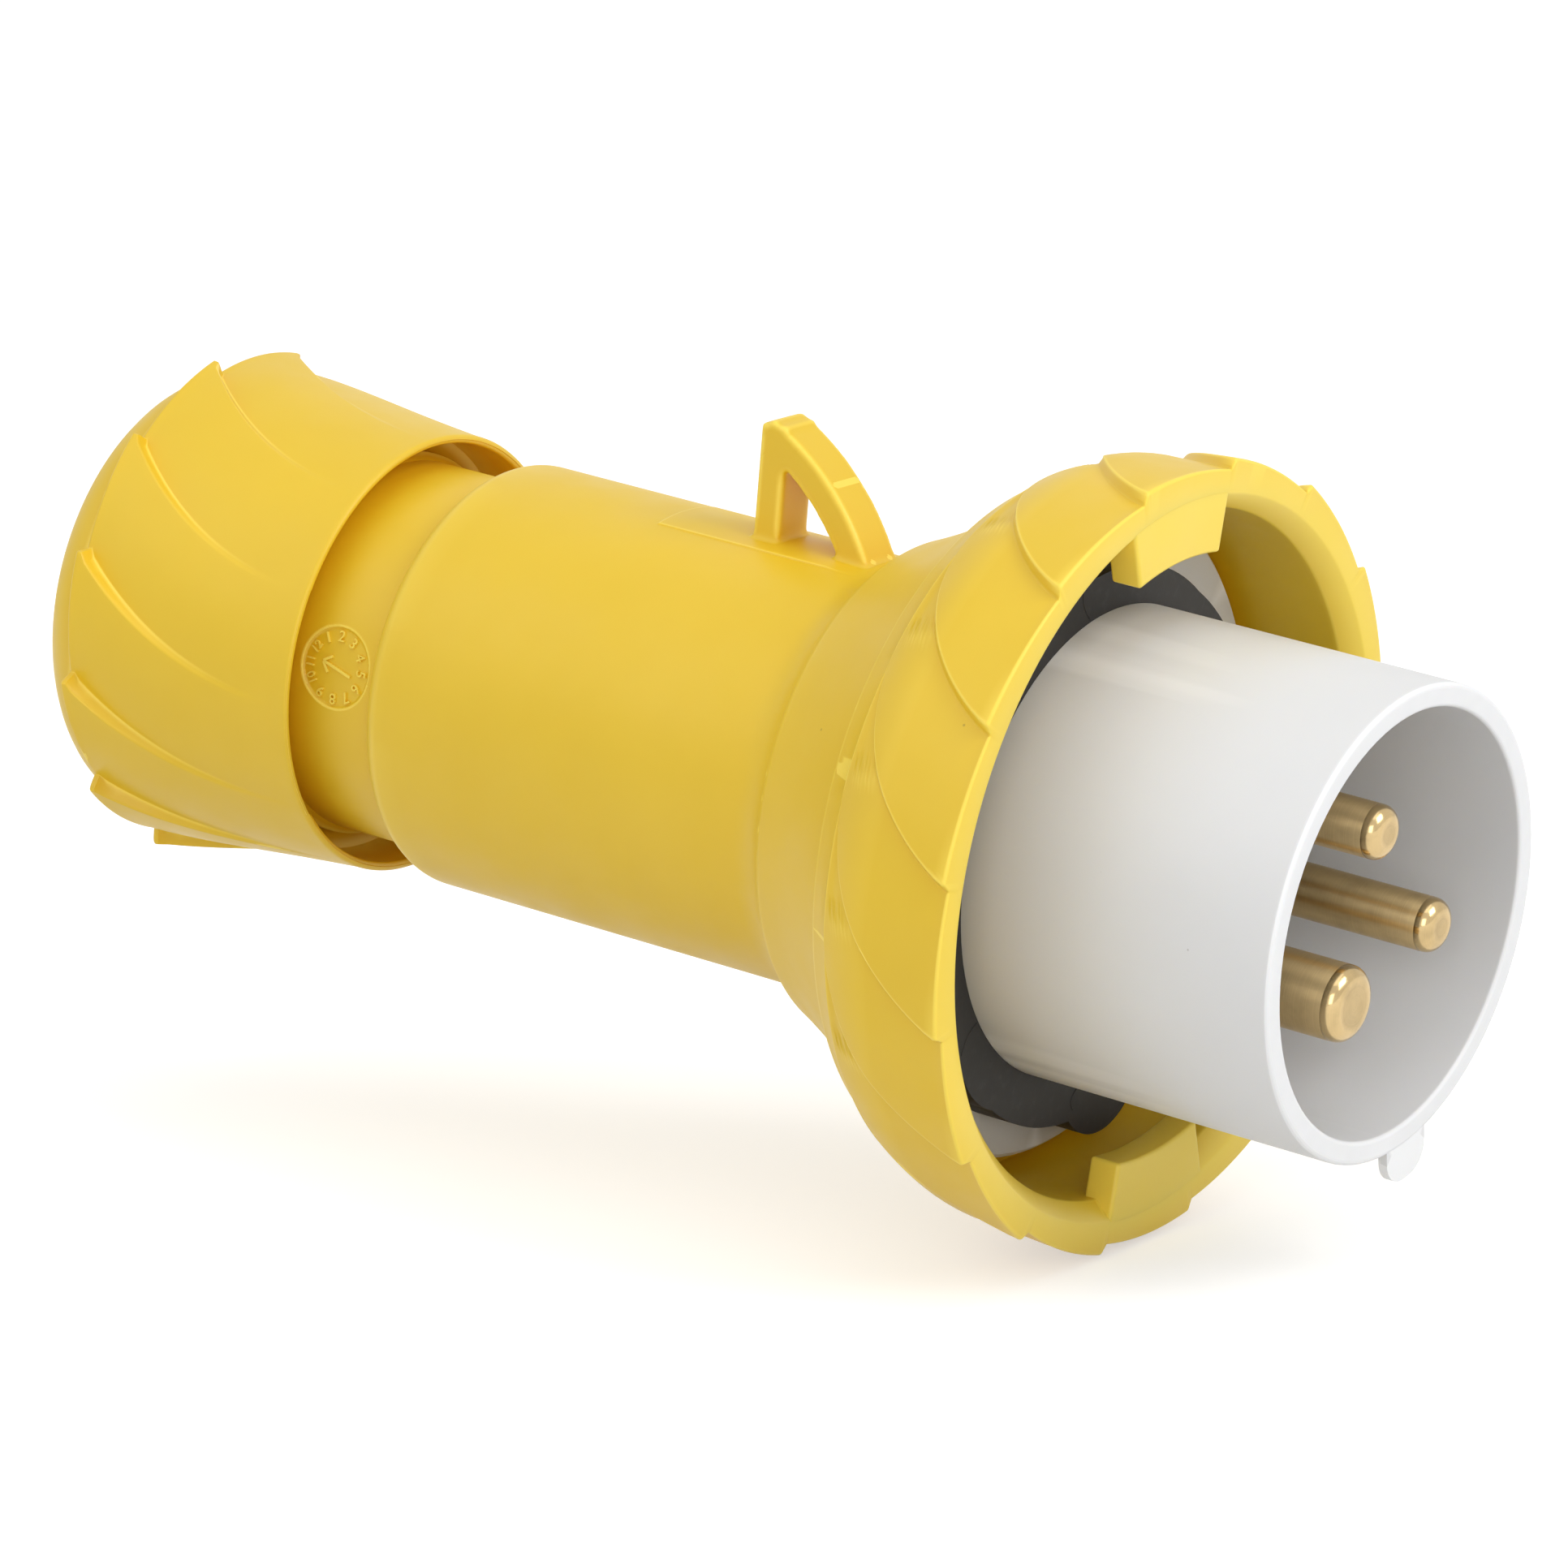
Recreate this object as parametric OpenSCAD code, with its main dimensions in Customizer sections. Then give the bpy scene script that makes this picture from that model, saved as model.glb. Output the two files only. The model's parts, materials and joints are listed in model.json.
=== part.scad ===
// Industrial locking power plug, 16 A, three pins, watertight pattern.
// The plug lies along X: the pins point to +X, the cable enters from -X, and the hanging loop is on top.
// The origin is the centre of the shroud's front rim. Every "x" below is a station along that axis.
// Clock angles are seen from the front and run from +Z (0) towards +Y (90).

/* [Contact shroud] */
// Outer diameter of the white shroud
shroud_d = 43.5; // [40:0.1:46]
// Wall thickness of the shroud
shroud_wall = 2.2; // [1.8:0.1:3]
// Depth of the shroud from its rim to the contact floor
shroud_depth = 37.2; // [36.5:0.1:38]
// Width of the guide key under the shroud's rim
key_w = 6.2; // [4:0.1:8]
// Radius of the two corners at the key's tip
key_corner_r = 2.6; // [1:0.1:3]
// Length of the guide key along the plug's axis
key_length = 0.9; // [0.6:0.1:4]
// Reach of the key's tip from the plug's axis
key_reach = 25.1; // [24:0.1:26]
// Clock angle of the guide key
key_clock = 168; // [160:1:180]
// Diameter of the white mounting flange
flange_d = 60.6; // [59:0.1:61.5]
// Station of the flange's front face
flange_x = -35.9; // [-36.4:0.1:-35.6]
// Thickness of the flange
flange_t = 2.8; // [2.4:0.1:2.8]

/* [Contacts] */
// Radius of the circle that the pins stand on
pin_circle_r = 8.8; // [8.4:0.1:9.2]
// Diameter of the two line pins
line_pin_d = 5; // [4.8:0.1:5.2]
// Diameter of the earth pin
earth_pin_d = 7; // [6.8:0.1:7.2]
// Clock angle of the earth pin
earth_clock = 225; // [215:1:235]
// Station of the line pins' tips
line_tip_x = -1; // [-4:0.1:-0.5]
// Station of the earth pin's tip
earth_tip_x = -0.4; // [-4:0.1:-0.2]
// Station of the terminal screws
screw_x = -53; // [-54:0.5:-52]

/* [Locking ring] */
// Station of the ring's front face
ring_front_x = -24.5; // [-25.2:0.1:-24.2]
// Radius over the tips of the scales
ring_tip_r = 36.5; // [35.5:0.05:36.8]
// Number of overlapping scales round the ring
scale_count = 16; // [14:1:18]
// Clock angle of one scale's tip
scale_clock = -14.4; // [-20:0.1:0]
// Height of the step between two scales at the front
scale_step = 1.05; // [0.6:0.05:1.2]
// Radius of the arc that outlines a scale, unrolled on the ring's outside
scale_arc_r = 23.2; // [22:0.1:25]
// Radius of the ring's inner wall
ring_bore_r = 31.7; // [31.5:0.1:32]
// Radius inside the two bayonet lugs
lug_r = 28; // [27:0.1:29]
// Width of a bayonet lug
lug_angle = 26; // [20:1:30]
// Clock angle of the upper lug's middle
lug_clock = -5.6; // [-10:0.1:0]
// Angle that the ring turns between open and locked
lock_angle = 45; // [30:1:60]

/* [Housing] */
// Diameter of the barrel
barrel_d = 40.3; // [39.5:0.1:41]
// Wall thickness of the barrel
barrel_wall = 2.5; // [2:0.1:3]
// Station of the barrel's rear shoulder
shoulder_x = -98.3; // [-100:0.1:-96]
// Diameter of the neck behind the shoulder
neck_d = 35.5; // [35:0.1:36]
// Diameter over the neck's thread
thread_d = 36.8; // [36.4:0.1:37]
// Station of the housing's rear end
tail_x = -122; // [-122.4:0.1:-121.6]
// Radius of the journal that carries the locking ring
journal_r = 28; // [27.8:0.1:28.2]
// Station of the date wheel's middle on the neck
date_x = -105.3; // [-105.5:0.1:-105]
// Clock angle of the date wheel
date_clock = -81.7; // [-90:0.1:-70]
// Radius of the date wheel
date_r = 3.85; // [3:0.05:4]

/* [Hanging loop] */
// Width of the loop, from side to side
loop_t = 4.9; // [4:0.1:6]
// Height of the loop's top above the axis
loop_top_z = 31; // [30:0.1:32]
// Station of the loop's straight leg, its rear face
loop_leg_x = -70.5; // [-72:0.1:-69]
// Thickness of the straight leg
loop_leg_t = 2.3; // [2:0.1:3]
// Outer radius of the curved bar
loop_arc_r = 24; // [23:0.1:25]
// Thickness of the curved bar
loop_bar_t = 2.2; // [2:0.1:3]

/* [Cable gland] */
// Number of blades round the gland nut
blade_count = 12; // [10:1:14]
// Clock angle of one blade's peak at the rear edge
blade_clock = -69.2; // [-80:0.1:-60]
// Angle by which a blade sweeps from rear to front
blade_sweep = 25; // [15:1:30]
// Height of the step between two blades at the rear edge
blade_step = 1.5; // [1:0.05:2]
// Station of the nut's front rim
nut_front_x = -108.1; // [-109:0.1:-107.5]
// Station of the blades' rear edge
blade_rear_x = -132.3; // [-133:0.1:-131.5]
// Station of the nut's rear end
nut_rear_x = -138.1; // [-139:0.1:-138]
// Travel of the nut along the thread
nut_travel = 4.6; // [3:0.1:5]
// Radius of the cable hole in the nut
cable_hole_r = 9.5; // [8:0.1:10]
// Radius of the hole in the rubber seal
cable_r = 6.2; // [4:0.1:7]

/* [Hidden] */

yellow = [0.94, 0.78, 0.25];
white = [0.88, 0.88, 0.88];
black = [0.16, 0.16, 0.16];
grey = [0.45, 0.46, 0.47];
brass = [0.72, 0.58, 0.32];
steel = [0.70, 0.71, 0.73];

$fn = 96;
eps = 0.01;
gap = 0.1;

shroud_r = shroud_d / 2;
floor_x = -shroud_depth;
flange_back_x = flange_x - flange_t;
gasket_t = 4;
barrel_r = barrel_d / 2;
barrel_bore_r = barrel_r - barrel_wall;
neck_r = neck_d / 2;
thread_r = thread_d / 2;

spigot_r = 20.6;
spigot_x = flange_back_x - 5.8;
collar_front_x = -41.2;
collar_back_x = -43.2;
retainer_back_x = collar_back_x - 2.5;
terminal_back_x = -58;
line_clocks = [earth_clock - 120, earth_clock + 120];
lobe_clocks = [-141, -21, 99];
keyway_clock = 170;
carrier_screw_r = 24.2;

ring_shoulder_x = -38.9;
ring_rear_x = -41.6;
ring_journal_gap = 0.08;
stop_clock = 60;
stop_angle = 6;

// ---------------------------------------------------------------- helpers

// Turns a [radius, station] profile about the plug's axis, by an angle up from a clock angle
module turned(clock = 0, angle = 360)
    rotate([0, 90, 0]) rotate_extrude(angle = angle, start = 180 - clock - angle) children();

// A plain round bar or disc between two stations
module bar(r, x0, x1) translate([min(x0, x1), 0, 0]) rotate([0, 90, 0]) cylinder(r = r, h = abs(x1 - x0));

// Puts a shape that was drawn on top, at +Z, at a clock angle
module at_clock(angle) rotate([-angle, 0, 0]) children();

// Puts an axial shape on the pin circle
module on_pin_circle(angle) at_clock(angle) translate([0, 0, pin_circle_r]) children();

// Points on an arc in the [radius, station] plane
function arc(r, x, radius, from, to, steps = 8) =
    [for (i = [0 : steps]) let (a = from + (to - from) * i / steps)
        [r + radius * cos(a), x + radius * sin(a)]];

// A closed skin through rings of [x, y, z] points that all have the same count, each end closed to the axis
module skin(rings) {
    n = len(rings[0]);
    m = len(rings);
    ends = [[rings[0][0][0], 0, 0], [rings[m - 1][0][0], 0, 0]];
    points = concat([for (ring = rings) for (p = ring) p], ends);
    sides = [for (j = [0 : m - 2]) for (i = [0 : n - 1])
        let (k = (i + 1) % n)
        each [[j * n + i, j * n + k, (j + 1) * n + k], [j * n + i, (j + 1) * n + k, (j + 1) * n + i]]];
    caps = [for (i = [0 : n - 1])
        let (k = (i + 1) % n)
        each [[k, i, m * n], [(m - 1) * n + i, (m - 1) * n + k, m * n + 1]]];
    polyhedron(points = points, faces = concat(sides, caps), convexity = 6);
}

// One ring of a saw-toothed skin. Each tooth falls from its peak by a step height over its width.
// dir is 1 where the teeth fall with rising clock angle, and -1 where they fall the other way.
tooth_rise = 0.045;
tooth_parts = 4;
function tooth_fractions(dir) = dir > 0 ? [for (i = [0 : tooth_parts]) i / tooth_parts * (1 - tooth_rise)]
    : [for (i = [0 : tooth_parts]) (1 - i / tooth_parts) * (1 - tooth_rise)];
function toothed_ring(x, peak_r, step, clock, count, dir) =
    [for (t = [0 : count - 1]) for (f = tooth_fractions(dir))
        let (a = clock + 360 / count * (t + dir * f), r = peak_r - step * f / (1 - tooth_rise))
        [x, r * sin(a), r * cos(a)]];

// ---------------------------------------------------------------- contact carrier

// The outline of the shroud's key, drawn on top
module key_outline() {
    half_w = key_w / 2;
    root = shroud_r - 1.5;
    flat_w = key_w - 2 * key_corner_r;
    for (side = [-1, 1]) translate([side * flat_w / 2, key_reach - key_corner_r]) circle(r = key_corner_r);
    translate([-flat_w / 2, root]) square([flat_w, key_reach - root]);
    translate([-half_w, root]) square([key_w, key_reach - key_corner_r - root]);
}

// Extrudes an outline that was drawn with its top at +Z, between two stations
module along_axis(x0, x1) translate([min(x0, x1), 0, 0])
    rotate([90, 0, 90]) linear_extrude(height = abs(x1 - x0)) children();

module shroud_profile() {
    inner_r = shroud_r - shroud_wall;
    outer_round = 0.5;
    inner_round = 0.4;
    polygon(concat([[inner_r, flange_x]],
        arc(inner_r + inner_round, -inner_round, inner_round, 180, 90, 4),
        arc(shroud_r - outer_round, -outer_round, outer_round, 90, 0, 4),
        [[shroud_r, flange_x]]));
}

module carrier_profile() {
    flange_r = flange_d / 2;
    edge = 0.4;
    groove_r = 19.2;
    polygon(concat([[0, floor_x], [shroud_r - shroud_wall, floor_x], [shroud_r - shroud_wall, flange_x]],
        [[flange_r - edge, flange_x], [flange_r, flange_x - edge], [flange_r, flange_back_x]],
        [[spigot_r, flange_back_x], [spigot_r, -41], [groove_r, -41], [groove_r, -42.7], [spigot_r, -42.7],
         [spigot_r, spigot_x], [0, spigot_x]]));
}

// The tube behind the flange that surrounds the terminals
module terminal_tube() {
    tube_r = barrel_bore_r - 0.7;
    tube_wall = 1.9;
    difference() {
        bar(tube_r, spigot_x + eps, -64);
        bar(tube_r - tube_wall, spigot_x, -65);
        for (c = concat([earth_clock], line_clocks))
            at_clock(c) translate([screw_x, 0, 10]) cylinder(r = 3.4, h = 10);
    }
}

module contact_carrier() color(white) {
    difference() {
        union() {
            turned() shroud_profile();
            turned() carrier_profile();
            at_clock(key_clock) along_axis(-key_length - gap, -gap) key_outline();
            terminal_tube();
        }
        bar(barrel_bore_r - 2.6, collar_back_x, spigot_x - 1);
        on_pin_circle(earth_clock) bar(earth_pin_d / 2 + 0.04, floor_x + 1, collar_back_x);
        on_pin_circle(earth_clock) bar(5.3, collar_front_x, collar_back_x - 1);
        for (c = line_clocks) {
            on_pin_circle(c) bar(line_pin_d / 2 + 0.04, floor_x + 1, collar_back_x);
            on_pin_circle(c) bar(4.7, collar_front_x, collar_back_x - 1);
        }
        bar(1.45, -39.5, collar_back_x - 1);
        for (c = lobe_clocks) at_clock(c) translate([0, 0, carrier_screw_r]) {
            bar(1.6, flange_x + 1, flange_back_x - 1);
            translate([flange_x - 1.4, 0, 0]) rotate([0, 90, 0]) cylinder(r1 = 1.6, r2 = 2.35, h = 0.8);
            bar(2.35, flange_x - 0.6, flange_x + 1);
        }
    }
}

// ---------------------------------------------------------------- contacts

// A turned pin with a rounded nose, a relief groove at the contact floor, a collar that is trapped in the
// carrier, and a terminal barrel
module contact_pin(clock, r, tip_x, nose, collar_r, terminal_r)
    color(brass) on_pin_circle(clock) difference() {
    turned() polygon(concat([[0, tip_x]], arc(r - nose, tip_x - nose, nose, 90, 0, 6),
        [[r, floor_x + groove_half_w], [r - groove_depth, floor_x + groove_half_w],
         [r - groove_depth, floor_x - groove_half_w], [r, floor_x - groove_half_w],
         [r, collar_front_x], [collar_r, collar_front_x], [collar_r, collar_back_x],
         [terminal_r, collar_back_x], [terminal_r, terminal_back_x], [0, terminal_back_x]]));
    bar(wire_hole_r, terminal_back_x - 1, -46.5);
    translate([screw_x, 0, 0]) cylinder(r = 1.65, h = terminal_r + 1);
}
wire_hole_r = 2.2;
groove_half_w = 0.4;
groove_depth = 0.25;
line_terminal_r = 4;
earth_terminal_r = 4.6;

module earth_pin() contact_pin(earth_clock, earth_pin_d / 2, earth_tip_x, 1.25, 5.2, earth_terminal_r);
module line_pin(i) contact_pin(line_clocks[i], line_pin_d / 2, line_tip_x, 1.25, 4.6, line_terminal_r);

// Slotted cheese-head screw that points to the axis, its head outwards
module terminal_screw(clock, terminal_r)
    color(steel) on_pin_circle(clock) translate([screw_x, 0, 0]) difference() {
    union() {
        translate([0, 0, 1]) cylinder(r = 1.6, h = terminal_r - 0.4);
        translate([0, 0, terminal_r + 0.1]) cylinder(r = 2.8, h = 2);
    }
    translate([-3, -0.4, terminal_r + 1.2]) cube([6, 0.8, 2]);
}

// Bent leaf between a screw's point and the wire
module wire_clamp(clock, terminal_r) color(steel) on_pin_circle(clock) {
    leaf_t = 0.5;
    leaf_w = 2.8;
    translate([terminal_back_x - 0.1 - leaf_t, -leaf_w / 2, 0.4]) cube([8.2, leaf_w, leaf_t]);
    translate([terminal_back_x - 0.1 - leaf_t, -leaf_w / 2, 0.4]) cube([leaf_t, leaf_w, terminal_r - 0.9]);
}

// Insulating plate that keeps the pins' collars in their seats, with a wall between each two terminals
module pin_retainer() color(white) difference() {
    union() {
        bar(barrel_bore_r - 2.8, collar_back_x, retainer_back_x);
        for (i = [0 : 2]) at_clock(earth_clock + 60 + 120 * i)
            translate([terminal_back_x, -0.7, 3.6])
                cube([retainer_back_x - terminal_back_x + eps, 1.4, 10.8]);
    }
    bar(1.5, collar_back_x + 1, retainer_back_x - 1);
    on_pin_circle(earth_clock) bar(earth_terminal_r + gap, collar_back_x + 1, retainer_back_x - 1);
    for (c = line_clocks) on_pin_circle(c) bar(line_terminal_r + gap, collar_back_x + 1, retainer_back_x - 1);
}

module retainer_screw() color(steel) difference() {
    union() {
        bar(1.4, retainer_back_x - eps, -40);
        bar(2.7, retainer_back_x - 2, retainer_back_x);
    }
    translate([retainer_back_x - 3, -3, -0.4]) cube([2, 6, 0.8]);
}

// ---------------------------------------------------------------- seals and fixings of the carrier

// Lobed rubber gasket round the shroud, with a bulge for the socket's keyway
module gasket_outline() difference() {
    union() {
        circle(r = 24.5);
        for (bulge = [[-165, 4.1, 22.3], [-12, 3.5, 22.1], [99, 2.5, 22.3]])
            rotate(-bulge[0]) translate([0, bulge[1]]) circle(r = bulge[2]);
        for (c = lobe_clocks) rotate(-c) translate([0, 17.6]) circle(r = 9);
        rotate(-keyway_clock) translate([0, 22.4]) circle(r = 6.4);
    }
    circle(r = shroud_r + 0.03);
}

module flange_gasket() color(black) along_axis(flange_x, flange_x + gasket_t) gasket_outline();

module carrier_seal() color(black) turned() translate([19.95, -41.85]) circle(r = 0.72, $fn = 24);

module carrier_screw(i)
    color(steel) at_clock(lobe_clocks[i]) translate([0, 0, carrier_screw_r]) difference() {
    union() {
        bar(1.3, flange_x - 1, -45);
        translate([flange_x - 1.4, 0, 0]) rotate([0, 90, 0]) cylinder(r1 = 1.3, r2 = 2.2, h = 0.85);
        bar(2.2, flange_x - 0.56, flange_x - 0.1);
    }
    translate([flange_x - 0.7, -0.3, -2.5]) cube([1, 0.6, 5]);
}

// ---------------------------------------------------------------- housing

// Outer outline from the ring's journal over the flare and the barrel to the threaded neck
module housing_profile() {
    journal_x = -41.9;
    polygon(concat(
        [[0, flange_back_x], [journal_r - 0.3, flange_back_x], [journal_r, flange_back_x - 0.3],
         [journal_r, journal_x]],
        flare_points(),
        arc(barrel_r - 2, shoulder_x, 2, 0, -75, 6),
        [[neck_r, shoulder_x - 2.6], [neck_r, -112], [thread_r, -112.8], [thread_r, tail_x + 0.8],
         [thread_r - 0.8, tail_x], [0, tail_x]]));
}

// The flare sweeps in behind the ring on a wide hollow arc, rounds over an edge, and drops to the barrel
// on a small hollow arc. Each rise is the outline's slope where two of the arcs meet.
function flare_points() = let (
    sweep_r = 59.6, edge_r = 1.2, foot_r = 4.2, front_rise = 35.2, edge_rise = 23.3, foot_rise = 65,
    foot_c = [barrel_r + foot_r, -57.1],
    edge_c = foot_c - (foot_r + edge_r) * [cos(foot_rise), -sin(foot_rise)],
    sweep_c = edge_c + (edge_r + sweep_r) * [cos(edge_rise), -sin(edge_rise)])
    concat(arc(sweep_c[0], sweep_c[1], sweep_r, 180 - front_rise, 180 - edge_rise, 7),
        arc(edge_c[0], edge_c[1], edge_r, -edge_rise, -foot_rise, 3),
        arc(foot_c[0], foot_c[1], foot_r, 180 - foot_rise, 180, 6));

module housing_cavity() {
    cone_x = -100.5;
    ledge_r = 12;
    turned() polygon([[0, flange_back_x + 1], [spigot_r + 0.1, flange_back_x + 1], [spigot_r + 0.1, -45],
        [barrel_bore_r, -45], [barrel_bore_r, shoulder_x + 1], [ledge_r, cone_x - 3], [ledge_r, -106],
        [14.8, -106], [14.8, tail_x - 1], [0, tail_x - 1]]);
}

// Rounded bar section of the hanging loop
module loop_section(t) {
    round_r = 0.7;
    for (sx = [round_r, t - round_r]) for (sy = [-1, 1])
        translate([sx, sy * (loop_t / 2 - round_r)]) circle(r = round_r, $fn = 24);
    translate([0, -loop_t / 2 + round_r]) square([t, loop_t - 2 * round_r]);
    translate([round_r, -loop_t / 2]) square([t - 2 * round_r, loop_t]);
}

// A straight leg, a curved bar that leans against it, and a low rib along the bar's back
module hanging_loop() {
    bar_x = -79.2;
    bar_z = 9.6;
    intersection() {
        union() {
            translate([loop_leg_x, 0, 15]) linear_extrude(height = loop_top_z - 15) loop_section(loop_leg_t);
            translate([bar_x, 0, bar_z]) rotate([90, 0, 0]) rotate_extrude(angle = 63)
                translate([loop_arc_r - loop_bar_t, 0]) loop_section(loop_bar_t);
            translate([bar_x, 0, bar_z]) rotate([90, 0, 0]) rotate_extrude(angle = 62)
                translate([loop_arc_r - 1, -0.8]) square([1.3, 1.6]);
        }
        translate([loop_leg_x, -loop_t, 0]) cube([22, 2 * loop_t, loop_top_z + 0.3]);
    }
}

// Faintly raised pad where the mould's insert forms the loop's foot
module loop_pad() intersection() {
    bar(barrel_r + 0.12, -80.5, -57);
    translate([-80.5, -4.4, 10]) cube([23.5, 8.8, 15]);
}

module housing() color(yellow) difference() {
    union() {
        turned() housing_profile();
        loop_pad();
        hanging_loop();
    }
    housing_cavity();
    for (c = lobe_clocks) at_clock(c) translate([0, 0, carrier_screw_r]) bar(1.35, flange_back_x + 1, -45.6);
    ring_track();
    date_pocket();
}

// Shallow round pocket of the mould's date wheel, on the side of the neck
module date_pocket() difference() {
    at_clock(date_clock) translate([date_x, 0, neck_r - 3]) cylinder(r = date_r, h = 4);
    bar(neck_r - 0.15, date_x - 5, date_x + 5);
}

// Track in the journal that the ring's stop runs in: it sets the ring's open and locked positions
module ring_track() {
    slack = 0.6;
    turned(clock = stop_clock - lock_angle - stop_angle / 2 - slack,
           angle = lock_angle + stop_angle + 2 * slack)
        polygon([[26.7, flange_back_x + 1], [journal_r + 1, flange_back_x + 1],
                 [journal_r + 1, -41.9], [26.7, -41.9]]);
}

// ---------------------------------------------------------------- locking ring

scale_front_x = ring_front_x - 0.5;
scale_reach = 21.15;
scale_arc_x = scale_front_x + sqrt(pow(scale_arc_r, 2) - pow(scale_reach, 2));
scale_rear_x = -38.6;

// Fall of the ring's outside from its front edge
function ring_fall(x) = let (d = scale_front_x - x) 0.12 * d + 0.077 * pow(max(d - 8, 0), 1.82);

// Stations along a scale's arc: [station, clock offset from the tip, step height]
scale_steps = 10;
function scale_station(i) = let (
    start = asin((scale_arc_x - scale_front_x) / scale_arc_r),
    end = asin((scale_arc_x - scale_rear_x) / scale_arc_r),
    a = start + (end - start) * i / scale_steps,
    reach = scale_reach - scale_arc_r * cos(a))
    [scale_arc_x - scale_arc_r * sin(a), reach / 36 * 180 / PI, scale_step * (1 - 0.85 * i / scale_steps)];

// The rear edge is a quarter round that runs into the flat rear face
module ring_outside() {
    last = scale_station(scale_steps);
    edge_r = 1.3;
    edge_top = ring_tip_r - ring_fall(last[0]) - 1.7;
    skin(concat(
        [for (edge = [[0, 0.35], [-0.1, 0.12]])
            toothed_ring(ring_front_x + edge[0], ring_tip_r - edge[1], scale_step, scale_clock,
                scale_count, 1)],
        [for (i = [0 : scale_steps]) let (s = scale_station(i))
            toothed_ring(s[0], ring_tip_r - ring_fall(s[0]), s[2], scale_clock + s[1], scale_count, 1)],
        [for (a = [25, 50, 70, 90])
            toothed_ring(ring_rear_x + edge_r * (1 - sin(a)), edge_top - edge_r * (1 - cos(a)), 0,
                scale_clock + last[1], scale_count, 1)]));
}

// A lug that hooks behind the socket's collar: a plate whose underside steps down at its leading end
module bayonet_lug() {
    plate_t = 2.5;
    ramp_angle = 5;
    half = lug_angle / 2;
    turned(clock = -half, angle = lug_angle) polygon([
        [lug_r, ring_front_x - 0.3], [lug_r + 0.3, ring_front_x],
        [lug_r + 0.3, ring_front_x + 2], [ring_bore_r + 3, ring_front_x + 2],
        [ring_bore_r + 3, ring_front_x - plate_t], [lug_r, ring_front_x - plate_t]]);
    turned(clock = -half, angle = ramp_angle) polygon([[lug_r + 1, ring_front_x - 1],
        [ring_bore_r + 3, ring_front_x - 1], [ring_bore_r + 3, ring_front_x - plate_t - 0.7],
        [lug_r + 1, ring_front_x - plate_t - 0.7]]);
}

// Everything that is hollow inside the ring: what the lugs and the stop take up is left standing
module ring_inside() difference() {
    turned() polygon([[0, ring_front_x + 1], [ring_bore_r + 1.6, ring_front_x + 1],
        [ring_bore_r + 1.6, ring_front_x], [ring_bore_r + 0.6, ring_front_x - 0.45],
        [ring_bore_r, ring_front_x - 1.3],
        [ring_bore_r, ring_shoulder_x], [journal_r + ring_journal_gap, ring_shoulder_x],
        [journal_r + ring_journal_gap, ring_rear_x - 1], [0, ring_rear_x - 1]]);
    for (c = [lug_clock, lug_clock + 180]) at_clock(c) bayonet_lug();
    turned(clock = stop_clock - stop_angle / 2, angle = stop_angle)
        polygon([[27, ring_shoulder_x], [journal_r + 1, ring_shoulder_x],
                 [journal_r + 1, ring_rear_x - 2], [27, ring_rear_x - 2]]);
}

module locking_ring() color(yellow) difference() {
    ring_outside();
    ring_inside();
}

// ---------------------------------------------------------------- cable gland

// Rubber ring that is squeezed on the cable, with concentric tear-out steps in its rear face
module cable_seal() color(black) turned() polygon([[cable_r, -121], [cable_r, -107.6], [12.6, -106.1],
    [14.3, -106.1], [14.6, -106.8], [14.6, -121.2], [13, -121.2], [13, -119], [11.6, -119], [11.6, -121.2],
    [9.8, -121.2], [9.8, -119], [8.4, -119], [8.4, -121]]);

// Split collet that the nut closes round the cable
module clamping_cage() color(grey) {
    finger_count = 8;
    slot_w = 2;
    difference() {
        turned() polygon([
            [10.6, tail_x - 0.1], [17.3, tail_x - 0.1], [17.3, tail_x - 1.9], [15.4, tail_x - 2.4],
            [14.6, tail_x - 6.4], [14, tail_x - 6.9], [11.4, tail_x - 6.9], [10.6, tail_x - 6.2]]);
        for (i = [0 : finger_count / 2 - 1]) at_clock(180 / (finger_count / 2) * i)
            translate([tail_x - 8, -slot_w / 2, -20]) cube([6, slot_w, 40]);
    }
}

// Slip ring between the nut and the cage
module pressure_ring() color(grey) turned() polygon([[10, pressure_ring_x], [17.4, pressure_ring_x],
    [17.4, pressure_ring_x + 1.2], [17, pressure_ring_x + pressure_ring_t],
    [10.6, pressure_ring_x + pressure_ring_t], [10, pressure_ring_x + 1]]);

blade_steps = 8;
nut_cavity_x = -135.8;
nut_cavity_r = 17.8;
thread_gap = 0.08;
pressure_ring_t = 1.6;
pressure_ring_x = tail_x - 6.9 - nut_travel - 0.5 - pressure_ring_t;
function blade_root_r(t) = 22.8 - 1.8 * t;
function blade_station(i) =
    let (t = i / blade_steps, x = blade_rear_x + (nut_front_x - 1.1 - blade_rear_x) * t)
    [x, -blade_sweep * (1 - pow(1 - t, 2)), blade_step * pow(1 - t, 2.2), blade_root_r(t)];

module nut_outside() {
    front_r = blade_root_r(1);
    dome_r = 5;
    dome_c = 16.8;
    skin(concat(
        [for (edge = [[0, 0.45], [0.12, 0.2], [0.4, 0.03]])
            toothed_ring(nut_front_x - edge[0], front_r - edge[1], 0, blade_clock - blade_sweep,
                blade_count, -1)],
        [for (i = [blade_steps : -1 : 0]) let (s = blade_station(i))
            toothed_ring(s[0], s[3] + s[2], s[2], blade_clock + s[1], blade_count, -1)],
        [toothed_ring(blade_rear_x - 0.15, dome_c + dome_r + 0.05, 0, blade_clock, blade_count, -1)],
        [for (a = [12 : 15 : 87])
            toothed_ring(nut_rear_x + dome_r * (1 - sin(a)), dome_c + dome_r * cos(a), 0, blade_clock,
                blade_count, -1)],
        [toothed_ring(nut_rear_x, dome_c, 0, blade_clock, blade_count, -1)]));
}

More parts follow.
